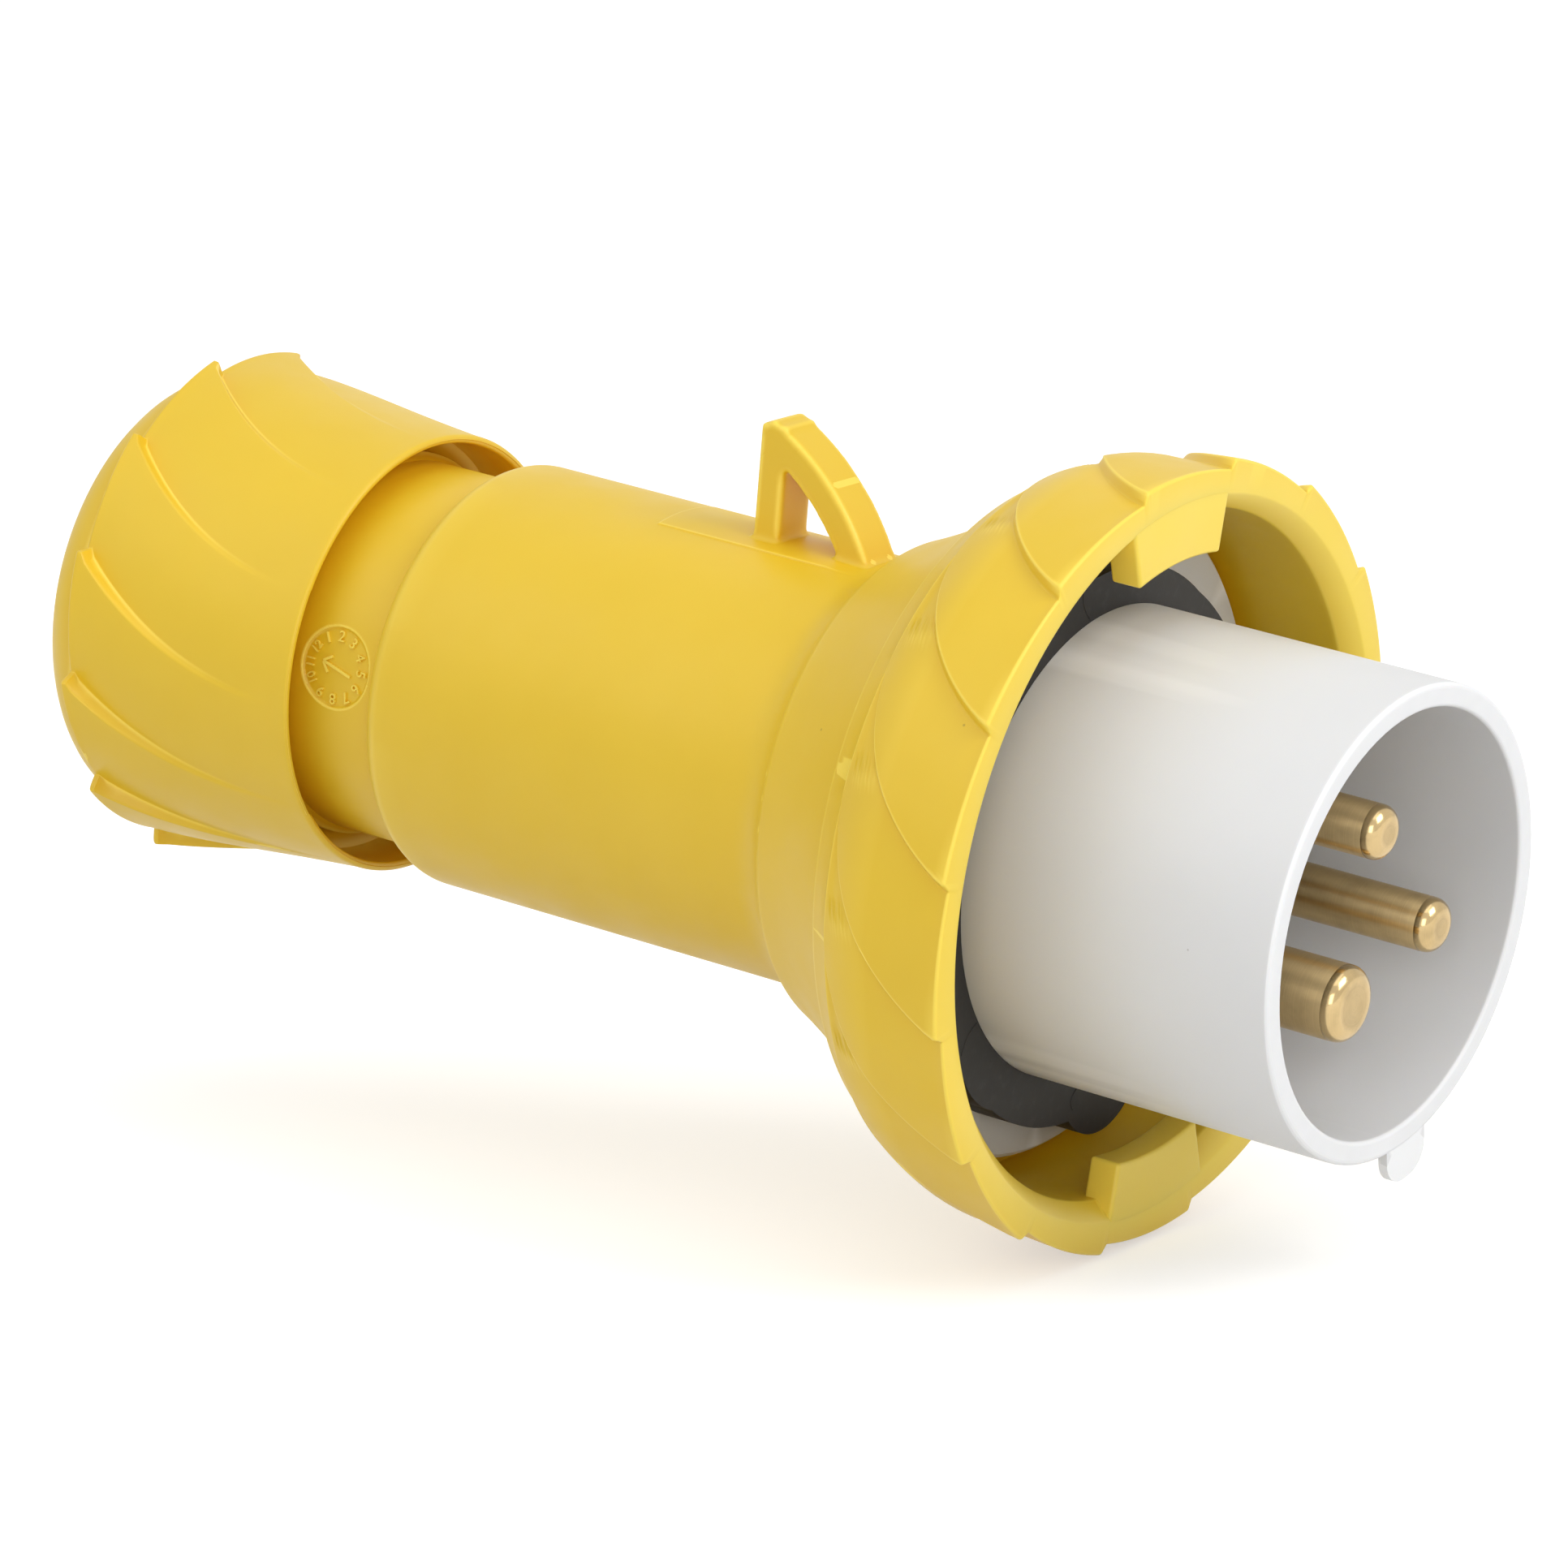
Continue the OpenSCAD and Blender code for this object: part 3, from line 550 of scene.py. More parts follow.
def make_nut():
    """The nut's mesh, spun from its outline and carved into blades."""
    outside = nut_rows()
    outline = [row[:2] for row in outside] + nut_inside()
    fractions = tooth_columns(14)
    width = len(fractions)
    columns = BLADES * width
    bm, row = spin_outline(outline, columns)
    pitch = 360 / BLADES
    falls = [tooth_fall(f, 0.022) for f in fractions]

    def carving(index, column):
        tooth, k = divmod(column, width)
        x, r = outline[index]
        clock = BLADE_CLOCK - pitch * (tooth + fractions[k])
        if index < len(outside):
            clock += outside[index][3]
            r -= outside[index][2] * falls[k]
        else:
            clock += -BLADE_SWEEP * smoothstep(x, -128, -112)
            r += lip_relief(x, r, clock)
        return place(x, r, clock)

    carve(bm, row, columns, carving)
    return bm


nut = finish_piece(make_nut(), "bladed_nut", "nut", yellow_plastic)
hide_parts("gland_nut")
print("bladed_nut:", len(nut.data.polygons), "faces")

# %% [markdown]
# ## The housing
# The housing is turned too: a journal for the ring, a flare, the barrel, a shoulder and the neck with its
# thread. An even mesh fine enough for the details would be heavy. So its columns aren't evenly spaced: they
# crowd at the mould's foot round the hanging loop and at the round date wheel on the neck.

# %% The housing's measures
BARREL, NECK, THREAD = 20.15, 17.75, 18.4
JOURNAL, JOURNAL_FRONT, FLARE_X, FLARE_R = 28.0, -41.68, -41.9, 29.2
FLARE_STEEP, FLARE_DROP = 35.2, 11.9
BARREL_BORE = 17.65
FOOT_HEIGHT, FOOT_REAR, FOOT_FRONT, FOOT_HALF_CLOCK = 0.13, -79.75, -59, 12.45
DATE_X, DATE_CLOCK, DATE_R = -105.3, -81.7, 3.85
DATE_DEPTH, DATE_RIM = 0.24, 0.025


# %% The housing's outline
def flare():
    """The flare's outline from the ring to the barrel: a wide hollow arc, an edge and a small hollow arc."""
    sweep, edge, foot = 59.6, 2.0, 5.2
    start = math.radians(FLARE_STEEP)
    sweep_x, sweep_r = FLARE_X - sweep * math.sin(start), FLARE_R + sweep * math.cos(start)
    points = []
    for i in range(19):
        a = math.radians(FLARE_STEEP - FLARE_DROP * i / 18)
        points.append((sweep_x + sweep * math.sin(a), sweep_r - sweep * math.cos(a)))
    rise = math.radians(FLARE_STEEP - FLARE_DROP)
    edge_x, edge_r = points[-1][0] + edge * math.sin(rise), points[-1][1] - edge * math.cos(rise)
    foot_r = BARREL + foot
    foot_x = edge_x - math.sqrt((edge + foot) ** 2 - (foot_r - edge_r) ** 2)
    steep = math.acos((foot_r - edge_r) / (edge + foot))
    for i in range(1, 9):
        a = rise + (steep - rise) * i / 8
        points.append((edge_x - edge * math.sin(a), edge_r + edge * math.cos(a)))
    for i in range(1, 15):
        a = steep * (1 - i / 14)
        points.append((foot_x + foot * math.sin(a), foot_r - foot * math.cos(a)))
    return points


def stations(first, last, step):
    """Evenly spaced stations from first to last, both included."""
    count = max(1, round(abs(last - first) / step))
    return [first + (last - first) * i / count for i in range(count + 1)]


def housing_outline():
    """The closed outline of the housing, outside from front to rear and back along its bore."""
    points = [(-38.7, JOURNAL - 0.3), (-39.0, JOURNAL), (-41.5, JOURNAL), (JOURNAL_FRONT, JOURNAL + 0.15),
              (JOURNAL_FRONT, JOURNAL + 1)]
    points += flare()
    points += [(x, BARREL) for x in stations(-60, -79, 1.0) + stations(-79.2, -80.2, 0.1)]
    points += [(x, BARREL) for x in stations(-82, -96.2, 2.4)]
    points += corner(-98.3, BARREL - 2, 2, 0, -75, 10)
    points += [(-100.75, NECK + 0.25), (-101.0, NECK)]
    points += [(x, NECK) for x in stations(-101.3, -109.4, 0.13)]
    points += [(-112, NECK), (-112.8, THREAD), (-121.3, THREAD), (-122, THREAD - 0.7)]
    points += [(-122, 14.8), (-106, 14.8), (-106, 12), (-103.5, 12), (-97.3, BARREL_BORE), (-45, BARREL_BORE),
               (-45, 20.7), (-38.7, 20.7)]
    return points


def crowded_clocks():
    """Clock angles of the housing's columns, crowded at the date wheel and at the edges of the loop's foot."""
    clocks = []
    for first, last, step in [(-180, -97, 2.2), (-97, -66.4, 0.42), (-66.4, -14, 2.2), (-14, -11, 0.3),
                              (-11, 11, 1.1), (11, 14, 0.3), (14, 180, 2.2)]:
        clocks += stations(first, last, step)[:-1]
    return clocks


# %% The housing, with its foot and its date wheel's pocket
def foot_height(x, clock):
    """How far the mould's foot round the loop stands above the barrel."""
    along = smoothstep(x, FOOT_REAR, FOOT_REAR + 0.25) * smoothstep(-x, -FOOT_FRONT, 2 - FOOT_FRONT)
    return FOOT_HEIGHT * along * smoothstep(-abs(clock), -FOOT_HALF_CLOCK - 0.3, -FOOT_HALF_CLOCK)


def date_height(x, clock):
    """How far the neck's surface is from round at the date wheel: a pocket with a fine raised rim."""
    out = math.hypot(x - DATE_X, NECK * math.radians(clock - DATE_CLOCK))
    pocket = DATE_DEPTH * (1 - smoothstep(out, DATE_R - 0.2, DATE_R))
    return DATE_RIM * max(0, 1 - abs(out - DATE_R - 0.12) / 0.16) - pocket


def make_housing():
    """The housing's mesh, spun from its outline and carved at its foot and its date wheel."""
    outline = housing_outline()
    clocks = crowded_clocks()
    bm, row = spin_outline(outline, len(clocks))

    def carving(index, column):
        x, r = outline[index]
        clock = clocks[column]
        if -82 < x < -58 and r > BARREL_BORE + 1:
            r += foot_height(x, clock)
        if r == NECK and x > -110:
            r += date_height(x, clock)
        return place(x, r, clock)

    carve(bm, row, len(clocks), carving)
    return bm


housing = finish_piece(make_housing(), "housing_shell", "plug", yellow_plastic)
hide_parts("housing")
print("housing_shell:", len(housing.data.polygons), "faces")

# %% [markdown]
# ## The hanging loop
# The plug hangs on a hook by this loop, a straight post and a curved bar. Each is a flat outline pushed out
# to the loop's width. Their edges are hard to bevel where they meet, so they are joined to a thin slice of
# the barrel, remeshed in small cubes and relaxed. That melts the edges and gives the feet soft fillets. The
# slice lies just under the barrel's own surface, so only the fillets come out of it.

# %% The loop's post and bar
LOOP_X, LOOP_Z, LOOP_R, LOOP_INNER_R, LOOP_HALF = -79.2, 9.6, 23.9, 20.95, 2.45
POST_REAR, POST_FRONT, POST_TOP = -70.45, -67.65, 30.95
BAR_REAR, BAR_FRONT, BAR_FRONT_INSIDE = -69.5, -56.7, -59.9
LOOP_ROOT = 17
ARC_STEPS = 20


def loop_arc(radius, rear, front):
    """Points of an arc about the loop's centre, between two stations."""
    spots = stations(rear, front, abs(front - rear) / ARC_STEPS)
    return [(x, LOOP_Z + math.sqrt(radius ** 2 - (x - LOOP_X) ** 2)) for x in spots]


def prism(bm, left, right, half):
    """A solid between two chains of (station, height) points, pushed out to both sides of the XZ plane."""
    chain = left + right[::-1]
    face = bm.faces.new([bm.verts.new((x * MM, -half * MM, z * MM)) for x, z in chain])
    pushed = bmesh.ops.extrude_face_region(bm, geom=[face])
    moved = [g for g in pushed["geom"] if isinstance(g, bmesh.types.BMVert)]
    bmesh.ops.translate(bm, vec=(0, 2 * half * MM, 0), verts=moved)


# %% The slice of barrel, and the melt
SLICE_HALF_CLOCK, SLICE_SUNK, SLICE_INNER_R = 12, 0.05, 18.4
MELT_CUBE, MELT_PASSES = 0.2, 14


def barrel_slice():
    """The outline of the barrel and the flare's foot under the loop, sunk just below the surface."""
    above = [p for p in housing_outline() if -74.5 < p[0] < -53 and p[1] > BARREL_BORE + 1]
    rim = [(x, r + FOOT_HEIGHT * smoothstep(-x, -FOOT_FRONT, 2 - FOOT_FRONT) - SLICE_SUNK) for x, r in above]
    return rim + [(rim[-1][0], SLICE_INNER_R), (rim[0][0], SLICE_INNER_R)]


def make_loop():
    """The loop as a piece: post, bar and slice, melted into one skin."""
    bm = bmesh.new()
    rear, front = [[(x, LOOP_ROOT), (x, POST_TOP)] for x in (POST_REAR, POST_FRONT)]
    prism(bm, rear, front, LOOP_HALF)
    prism(bm, loop_arc(LOOP_R, BAR_REAR, BAR_FRONT), loop_arc(LOOP_INNER_R, BAR_REAR, BAR_FRONT_INSIDE),
          LOOP_HALF)
    spin_face(bm, barrel_slice(), -SLICE_HALF_CLOCK, 2 * SLICE_HALF_CLOCK)
    piece = finish_piece(bm, "hanging_loop", "plug", yellow_plastic)
    remesh = piece.modifiers.new("melt", "REMESH")
    remesh.mode = "VOXEL"
    remesh.voxel_size = MELT_CUBE * MM
    solid = bpy.data.meshes.new_from_object(piece.evaluated_get(bpy.context.evaluated_depsgraph_get()))
    piece.modifiers.clear()
    bm = bmesh.new()
    bm.from_mesh(solid)
    for _ in range(MELT_PASSES):
        bmesh.ops.smooth_vert(bm, verts=bm.verts, factor=0.5, use_axis_x=True, use_axis_y=True, use_axis_z=True)
    bm.to_mesh(piece.data)
    bm.free()
    piece.data.shade_smooth()
    return piece


loop = make_loop()
print("hanging_loop:", len(loop.data.polygons), "faces, materials", len(loop.data.materials))

# %% [markdown]
# ## The date wheel
# The mould leaves a round pocket on the neck, with the numbers of the months round an arrow. A bump map
# would look flat when the plug turns, so the figures are real. The numbers are text objects that become
# meshes. The whole drawing is then laid on the neck: its flat x runs along the plug, and its flat y is bent
# round the axis.

# %% Lay flat shapes on the neck
FIGURE_R = NECK - 0.15
FIGURE_HALF, BAR_WIDTH = 0.12, 0.24


def lay_on_neck(bm, radius):
    """Bends a flat drawing in millimetres, whose z is height, on to the neck at the date wheel."""
    for vert in bm.verts:
        x, y, z = vert.co
        vert.co = place(DATE_X + x, radius + z, DATE_CLOCK + math.degrees(y / radius))


def drawn_number(bm, text, angle, reach, size):
    """Adds a number to a flat drawing: angle is clockwise from the top, and the number's top points out."""
    curve = bpy.data.curves.new("number", "FONT")
    curve.body = text
    curve.size = size
    curve.align_x, curve.align_y = "CENTER", "CENTER"
    curve.extrude = FIGURE_HALF
    curve.bevel_depth = 0.012
    curve.resolution_u = 3
    holder = bpy.data.objects.new("number", curve)
    bpy.context.collection.objects.link(holder)
    mesh = bpy.data.meshes.new_from_object(holder.evaluated_get(bpy.context.evaluated_depsgraph_get()))
    a = math.radians(angle)
    spot = Vector((reach * math.sin(a), reach * math.cos(a), 0))
    mesh.transform(Matrix.Translation(spot) @ Matrix.Rotation(-a, 4, "Z"))
    bm.from_mesh(mesh)
    bpy.data.objects.remove(holder)
    bpy.data.curves.remove(curve)
    bpy.data.meshes.remove(mesh)


def drawn_bar(bm, start, end):
    """Adds a straight raised bar between two flat points."""
    start, end = Vector((*start, 0)), Vector((*end, 0))
    run = end - start
    box = bmesh.ops.create_cube(bm, size=1.0)["verts"]
    turn = Matrix.Rotation(math.atan2(run.y, run.x), 4, "Z")
    size = Matrix.Diagonal((run.length, BAR_WIDTH, 2 * FIGURE_HALF, 1))
    bmesh.ops.transform(bm, matrix=Matrix.Translation((start + end) / 2) @ turn @ size, verts=box)


# %% The numbers 1 to 12 and the arrow
NUMBER_CIRCLE = 2.9
ARROW = [((1.75, -0.55), (-1.45, 0.35)), ((-1.5, 0.4), (-0.55, 0.95)), ((-1.5, 0.3), (-0.85, -0.6))]


def make_date_wheel():
    """The raised figures, drawn flat and then bent on to the neck."""
    bm = bmesh.new()
    for number in range(1, 13):
        drawn_number(bm, str(number), 30 * (number - 2), NUMBER_CIRCLE, 1.45 if number < 10 else 1.2)
    for start, end in ARROW:
        drawn_bar(bm, start, end)
    lay_on_neck(bm, FIGURE_R)
    return bm


date_wheel = finish_piece(make_date_wheel(), "date_wheel", "plug", yellow_plastic)
print("date_wheel:", len(date_wheel.data.polygons), "faces")

# %% [markdown]
# ## The contact pins
# A pin is turned from brass bar. Its shaft is satin, its rounded nose is polished, and its flat tip shows
# the turning marks as a wedge of light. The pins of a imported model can't tell these apart, because Object
# coordinates know nothing of an outline. So each pin is spun again with a UV map, which runs along the
# outline one way and round the pin the other. U is 0.5 about where the nose begins, is less on the flat tip,
# and grows by 0.01 a millimetre towards the rear.

# %% Brass that follows the pin's outline
POLISHED_FROM, POLISHED_TO = 0.501, 0.519


def pin_metal(name, colour):
    """Brass with a satin shaft, a polished nose and a turned tip, by the UV map called outline."""
    material, nodes, links, shader, where = new_material(name)
    shader.inputs["Metallic"].default_value = 1.0
    shader.inputs["Anisotropic"].default_value = 0.75
    along = nodes.new("ShaderNodeUVMap")
    along.uv_map = "outline"
    tangent = nodes.new("ShaderNodeTangent")
    tangent.direction_type = "UV_MAP"
    tangent.uv_map = "outline"
    links.new(tangent.outputs["Tangent"], shader.inputs["Tangent"])
    split = nodes.new("ShaderNodeSeparateXYZ")
    links.new(along.outputs["UV"], split.inputs["Vector"])
    stretch = nodes.new("ShaderNodeMapping")
    stretch.inputs["Scale"].default_value = (9000.0, 2.0, 1.0)
    links.new(along.outputs["UV"], stretch.inputs["Vector"])
    marks = nodes.new("ShaderNodeTexNoise")
    marks.inputs["Scale"].default_value = 0.1
    marks.inputs["Detail"].default_value = 3.0
    links.new(stretch.outputs["Vector"], marks.inputs["Vector"])
    finish = ramp(nodes, links, split.outputs["X"],
                  [(0.0, grey(0.26)), (POLISHED_FROM - 0.005, grey(0.26)), (POLISHED_FROM, grey(0.07)),
                   (POLISHED_TO, grey(0.07)), (POLISHED_TO + 0.005, grey(0.3)), (1.0, grey(0.3))])
    spread = nodes.new("ShaderNodeMix")
    spread.data_type = "FLOAT"
    spread.inputs["Factor"].default_value = 0.25
    links.new(finish, spread.inputs["A"])
    links.new(marks.outputs["Fac"], spread.inputs["B"])
    links.new(spread.outputs["Result"], shader.inputs["Roughness"])
    dull = toned(colour, 0.86)
    tone = ramp(nodes, links, split.outputs["X"],
                [(0.0, dull), (0.4985, dull), (0.5, colour), (POLISHED_TO, colour), (0.523, dull), (1.0, dull)])
    stain = ramp(nodes, links, noise(nodes, links, where, 2.2, 4.0), [(0.45, grey(0.0)), (0.75, grey(0.5))])
    tone = blend_colours(nodes, links, stain, tone, toned(colour, 0.55))
    scratch = ramp(nodes, links, marks.outputs["Fac"], [(0.5, grey(0.0)), (0.75, grey(0.4))])
    tone = blend_colours(nodes, links, scratch, tone, toned(colour, 1.2))
    links.new(tone, shader.inputs["Base Color"])
    links.new(bump(nodes, links, marks.outputs["Fac"], 0.3, 0.005), shader.inputs["Normal"])
    return material


pin_gold = pin_metal("pin_gold", (0.62, 0.455, 0.225))

# %% The pins' outline
PIN_CIRCLE, NOSE = 8.8, 1.25
# Depth of the fine turned line behind the nose
SLIT = 0.025
# Each pin: clock angle, radius, station of the tip, and radii of the collar and of the terminal's barrel
PINS = {"earth_pin": (225, 3.5, -0.4, 5.2, 4.6), "line_pin_1": (105, 2.5, -1.0, 4.6, 4.0),
        "line_pin_2": (345, 2.5, -1.0, 4.6, 4.0)}


def pin_outline(radius, tip, collar, barrel):
    """Station and radius from the middle of the flat tip to the bottom of the wire's hole."""
    points = [(tip, 0), (tip, (radius - NOSE) / 2)]
    points += corner(tip - NOSE, radius - NOSE, NOSE, 90, 0, 12)
    back = tip - NOSE
    points += [(back - 0.1, radius), (back - 0.14, radius - SLIT), (back - 0.2, radius - SLIT),
               (back - 0.24, radius), (-20, radius), (-36.8, radius), (-36.85, radius - 0.25),
               (-37.6, radius - 0.25), (-37.6, radius)]
    points += [(-41.2, radius), (-41.2, collar), (-43.2, collar), (-43.2, barrel), (-57.7, barrel),
               (-58, barrel - 0.3), (-58, 2.4), (-57.8, 2.2), (-46.5, 2.2), (-46.5, 0)]
    return points


# %% A pin spun about its own axis, with its UV map
def unwrap_along_outline(bm, length, middle):
    """Writes U from the length along the outline and V from the turn round the pin's own axis."""
    uv = bm.loops.layers.uv.new("outline")
    for face in bm.faces:
        mid = face.calc_center_median()
        turn = math.atan2(mid.y - middle.y, mid.z - middle.z)
        for loop in face.loops:
            y, z = loop.vert.co.y - middle.y, loop.vert.co.z - middle.z
            angle = turn if math.hypot(y, z) < 0.001 * MM else math.atan2(y, z)
            angle += 2 * math.pi * round((turn - angle) / (2 * math.pi))
            loop[uv].uv = (0.5 + loop.vert[length] / 100, angle / (2 * math.pi))


def make_pin(name, clock, radius, tip, collar, barrel):
    """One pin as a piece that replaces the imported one."""
    outline = pin_outline(radius, tip, collar, barrel)
    lengths = [NOSE - radius]
    for (x0, r0), (x1, r1) in zip(outline, outline[1:]):
        lengths.append(lengths[-1] + math.hypot(x1 - x0, r1 - r0))
    middle = place(0, PIN_CIRCLE, clock)
    bm = bmesh.new()
    length = bm.verts.layers.float.new("length")
    chain = [bm.verts.new((x * MM, middle.y, middle.z + r * MM)) for x, r in outline]
    for vert, value in zip(chain, lengths):
        vert[length] = value
    edges = [bm.edges.new(pair) for pair in zip(chain, chain[1:])]
    bmesh.ops.spin(bm, geom=chain + edges, cent=middle, axis=(1, 0, 0), angle=2 * math.pi, steps=96,
                   use_merge=True)
    bmesh.ops.remove_doubles(bm, verts=bm.verts, dist=0.0001 * MM)
    unwrap_along_outline(bm, length, middle)
    piece = finish_piece(bm, "turned_" + name, "plug", pin_gold)
    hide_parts(name)
    return piece


for name, measures in PINS.items():
    pin = make_pin(name, *measures)
    print(pin.name, len(pin.data.polygons), "faces")

# %% [markdown]
# ## Fine lines on the gasket
# The rubber gasket is moulded in one piece, and its face shows a few fine raised lines where the parts of
# the mould meet. Each line is a thin round bead, drawn as a curve and then made a mesh.

# %% Beads on the gasket's face
BEAD_THICKNESS, BEAD_STEPS = 0.16, 12
# Each bead: its two ends as (radius, clock angle), and how far it bows sideways in degrees
BEADS = [(((22.0, -127.0), (25.2, -129.0)), 1.0), (((23.2, 180.0), (25.3, 181.0)), 1.5),
         (((22.0, -13.0), (25.2, -15.0)), -1.0)]


def add_bead(bm, station, ends, bow):
    """Adds a thin bead between two (radius, clock) points on a face, bowed sideways by some degrees."""
    (r0, c0), (r1, c1) = ends
    curve = bpy.data.curves.new("bead", "CURVE")
    curve.dimensions = "3D"
    curve.bevel_depth = BEAD_THICKNESS / 2 * MM
    curve.bevel_resolution = 2
    curve.use_fill_caps = True
    line = curve.splines.new("POLY")
    line.points.add(BEAD_STEPS)
    for i, point in enumerate(line.points):
        t = i / BEAD_STEPS
        clock = c0 + (c1 - c0) * t + bow * math.sin(math.pi * t)
        point.co = (*place(station, r0 + (r1 - r0) * t, clock), 1)
    holder = bpy.data.objects.new("bead", curve)
    bpy.context.collection.objects.link(holder)
    mesh = bpy.data.meshes.new_from_object(holder.evaluated_get(bpy.context.evaluated_depsgraph_get()))
    bm.from_mesh(mesh)
    bpy.data.objects.remove(holder)
    bpy.data.curves.remove(curve)
    bpy.data.meshes.remove(mesh)


beads = bmesh.new()
gasket_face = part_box("flange_gasket")[1][0] / MM
for ends, bow in BEADS:
    add_bead(beads, gasket_face, ends, bow)
bead_piece = finish_piece(beads, "gasket_lines", "plug", black_rubber)
print("gasket_lines:", len(bead_piece.data.polygons), "faces, gasket face at", round(gasket_face, 2))

# %% [markdown]
# ## Camera
# The camera stands in front of the pins, a little above the plug, and far away with a long lens, as for
# a page in a catalogue. It is also rolled by a few degrees, which tips the plug downhill.

# %% Camera
AZIMUTH, ELEVATION, ROLL = 34.23, 16.56, 4.67
DISTANCE = 782.1
AIM = Vector((-46.6, -29.1, 7.6))
LENS, SENSOR = 205.65, 36


def direction(azimuth, elevation):
    """A unit vector towards a place round the plug; azimuth 0 faces -Y, and 90 faces +X."""
    a, e = math.radians(azimuth), math.radians(elevation)
    return Vector((math.sin(a) * math.cos(e), -math.cos(a) * math.cos(e), math.sin(e)))


def facing(back):
    """A turn that makes a camera or a lamp look against a direction, with its top up."""
    return (-back).to_track_quat("-Z", "Y").to_matrix()


def add_camera():
    """The camera, aimed at a point beside the barrel and rolled about its own axis."""
    back = direction(AZIMUTH, ELEVATION)
    turn = facing(back) @ Matrix.Rotation(math.radians(ROLL), 3, "Z")
    data = bpy.data.cameras.new("camera")
    data.sensor_width = SENSOR
    data.lens = LENS
    data.clip_start, data.clip_end = 0.02, 20
    camera = bpy.data.objects.new("camera", data)
    camera.matrix_world = Matrix.Translation((AIM + back * DISTANCE) * MM) @ turn.to_4x4()
    bpy.context.collection.objects.link(camera)
    bpy.context.scene.camera = camera
    return camera


camera = add_camera()
print("camera at (m):", tuple(round(v, 4) for v in camera.matrix_world.translation))

# %% [markdown]
# ## Lamps
# Large soft lamps give the plastic its broad highlights. One big lamp would light the barrel evenly and
# leave the ring's inner wall dark. So a key lamp looks in from the pins' side, a weaker one stands near the
# camera, and two more fill the left and the top.

# %% Lamps
LAMP_TARGET = Vector((-0.06, 0, 0))


def add_lamp(name, azimuth, elevation, distance, size, power):
    """A square soft box that looks at the plug's middle; distance and size are in metres."""
    back = direction(azimuth, elevation)
    data = bpy.data.lights.new(name, "AREA")
    data.shape = "SQUARE"
    data.size = size
    data.energy = power
    lamp = bpy.data.objects.new(name, data)
    lamp.matrix_world = Matrix.Translation(LAMP_TARGET + back * distance) @ facing(back).to_4x4()
    bpy.context.collection.objects.link(lamp)
    print(name, "at", azimuth, elevation, "with", power, "W")


add_lamp("key_lamp", 96, 42, 1.2, 0.6, 5.4)
add_lamp("front_lamp", 36, 18, 1.3, 0.6, 2.9)
add_lamp("left_lamp", -40, 35, 1.3, 1.0, 2.1)
add_lamp("top_lamp", 20, 80, 1.1, 0.9, 2.1)

# %% [markdown]
# ## The world and the floor
# The plug stands before white. A bright world would wash it out, so the world is white only for rays that
# come from the camera, or that a shiny or clear surface sends on, and dimmer for all others. The floor does
# the same in a softer way: it is pale paper that holds the plug's shadow, and it glows a little for those
# rays, so that it fades into the background. Its plane leans, because the plug rests on its ring and its nut.

# %% The world
def white_for_seen(nodes, links):
    """1 for a ray from the camera or through a shiny or clear surface, and 0 for all others."""
    path = nodes.new("ShaderNodeLightPath")
    seen = path.outputs["Is Camera Ray"]
    for kind in ("Is Glossy Ray", "Is Transmission Ray"):
        either = nodes.new("ShaderNodeMath")
        either.operation = "MAXIMUM"
        links.new(seen, either.inputs[0])
        links.new(path.outputs[kind], either.inputs[1])
        seen = either.outputs[0]
    return seen


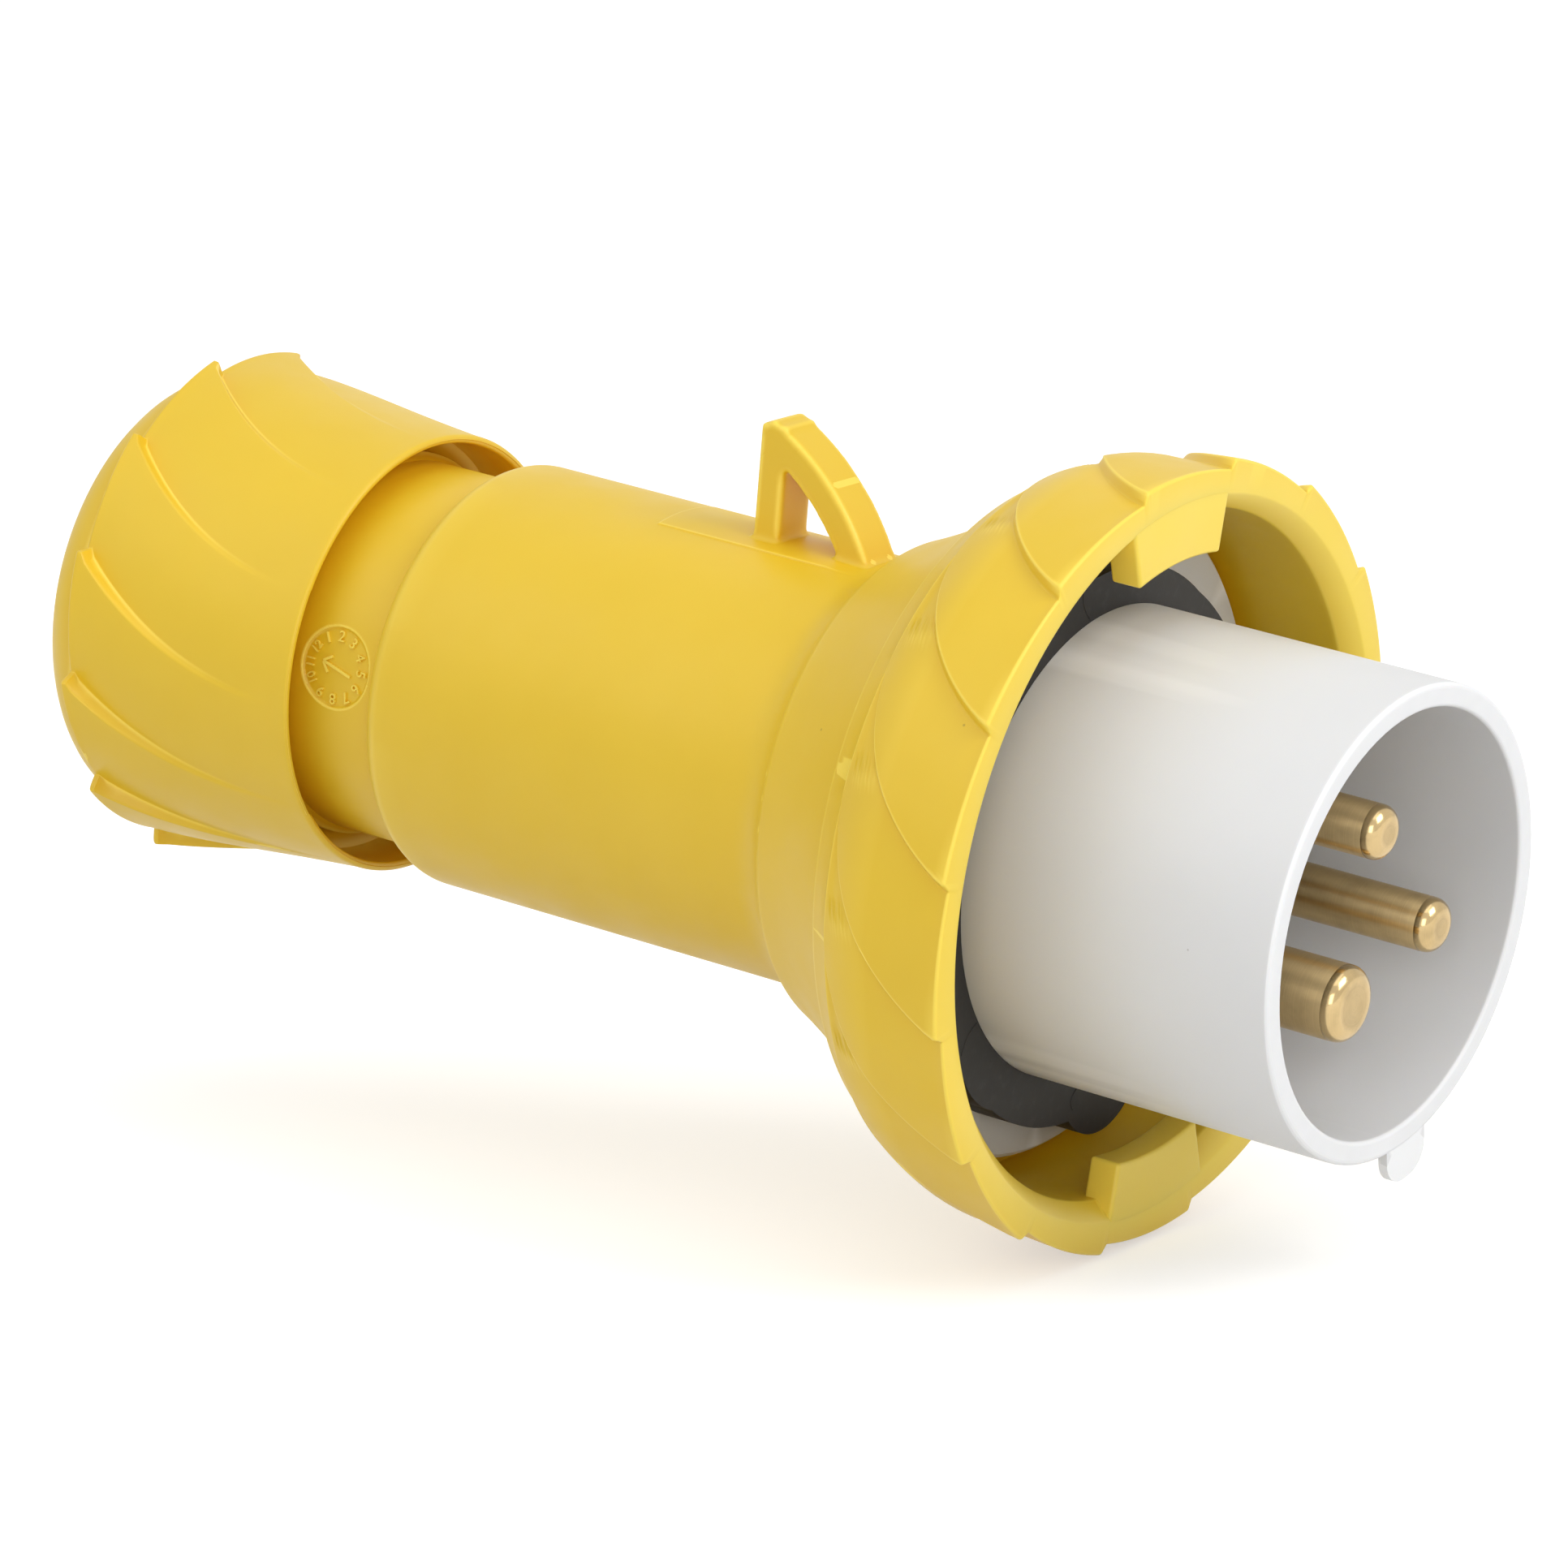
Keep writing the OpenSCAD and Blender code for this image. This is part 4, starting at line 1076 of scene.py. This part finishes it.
def add_world(level):
    """A plain world at a level, that shows as white."""
    world = bpy.data.worlds.new("studio")
    bpy.context.scene.world = world
    world.use_nodes = True
    nodes, links = world.node_tree.nodes, world.node_tree.links
    light = nodes["Background"]
    light.inputs["Color"].default_value = (1, 1, 1, 1)
    light.inputs["Strength"].default_value = level
    shown = nodes.new("ShaderNodeBackground")
    shown.inputs["Color"].default_value = (1, 1, 1, 1)
    shown.inputs["Strength"].default_value = 1.0
    mix = nodes.new("ShaderNodeMixShader")
    links.new(white_for_seen(nodes, links), mix.inputs["Fac"])
    links.new(light.outputs[0], mix.inputs[1])
    links.new(shown.outputs[0], mix.inputs[2])
    links.new(mix.outputs[0], nodes["World Output"].inputs["Surface"])


WORLD_LEVEL = 0.62
add_world(WORLD_LEVEL)
print("world level:", WORLD_LEVEL)


# %% The floor's paper
def floor_paper():
    """Pale matt paper that glows a little where it is seen, and keeps the shadow."""
    material, nodes, links, shader, _ = new_material("floor_paper")
    shader.inputs["Base Color"].default_value = (0.72, 0.72, 0.72, 1)
    shader.inputs["Roughness"].default_value = 0.9
    shader.inputs["Specular IOR Level"].default_value = 0.1
    lift = nodes.new("ShaderNodeMath")
    lift.operation = "MULTIPLY"
    lift.inputs[1].default_value = 0.5
    links.new(white_for_seen(nodes, links), lift.inputs[0])
    links.new(lift.outputs[0], shader.inputs["Emission Strength"])
    shader.inputs["Emission Color"].default_value = (1, 1, 1, 1)
    return material


# %% The floor that the plug rests on
REST_RING_X, REST_RING_R = -26, 36.5
REST_NUT_X, REST_NUT_R = -132.3, 24.35
FLOOR_GAP, FLOOR_HALF = 0.1, 3.0


def add_floor():
    """A wide plane that touches the undersides of the ring and of the nut."""
    tilt = math.atan2(REST_RING_R - REST_NUT_R, REST_RING_X - REST_NUT_X)
    bm = bmesh.new()
    bmesh.ops.create_grid(bm, x_segments=8, y_segments=8, size=FLOOR_HALF)
    under_ring = Matrix.Translation(Vector((REST_RING_X, 0, -REST_RING_R - FLOOR_GAP)) * MM)
    bmesh.ops.transform(bm, matrix=under_ring @ Matrix.Rotation(-tilt, 4, "Y"), verts=bm.verts)
    mesh = bpy.data.meshes.new("floor")
    bm.to_mesh(mesh)
    bm.free()
    mesh.materials.append(floor_paper())
    floor = bpy.data.objects.new("floor", mesh)
    bpy.context.collection.objects.link(floor)
    print("floor tilt in degrees:", round(math.degrees(tilt), 2))


add_floor()

# %% [markdown]
# ## The view
# The Standard view shows colours as they are written.

# %% Last lines: the view
bpy.context.scene.view_settings.view_transform = "Standard"
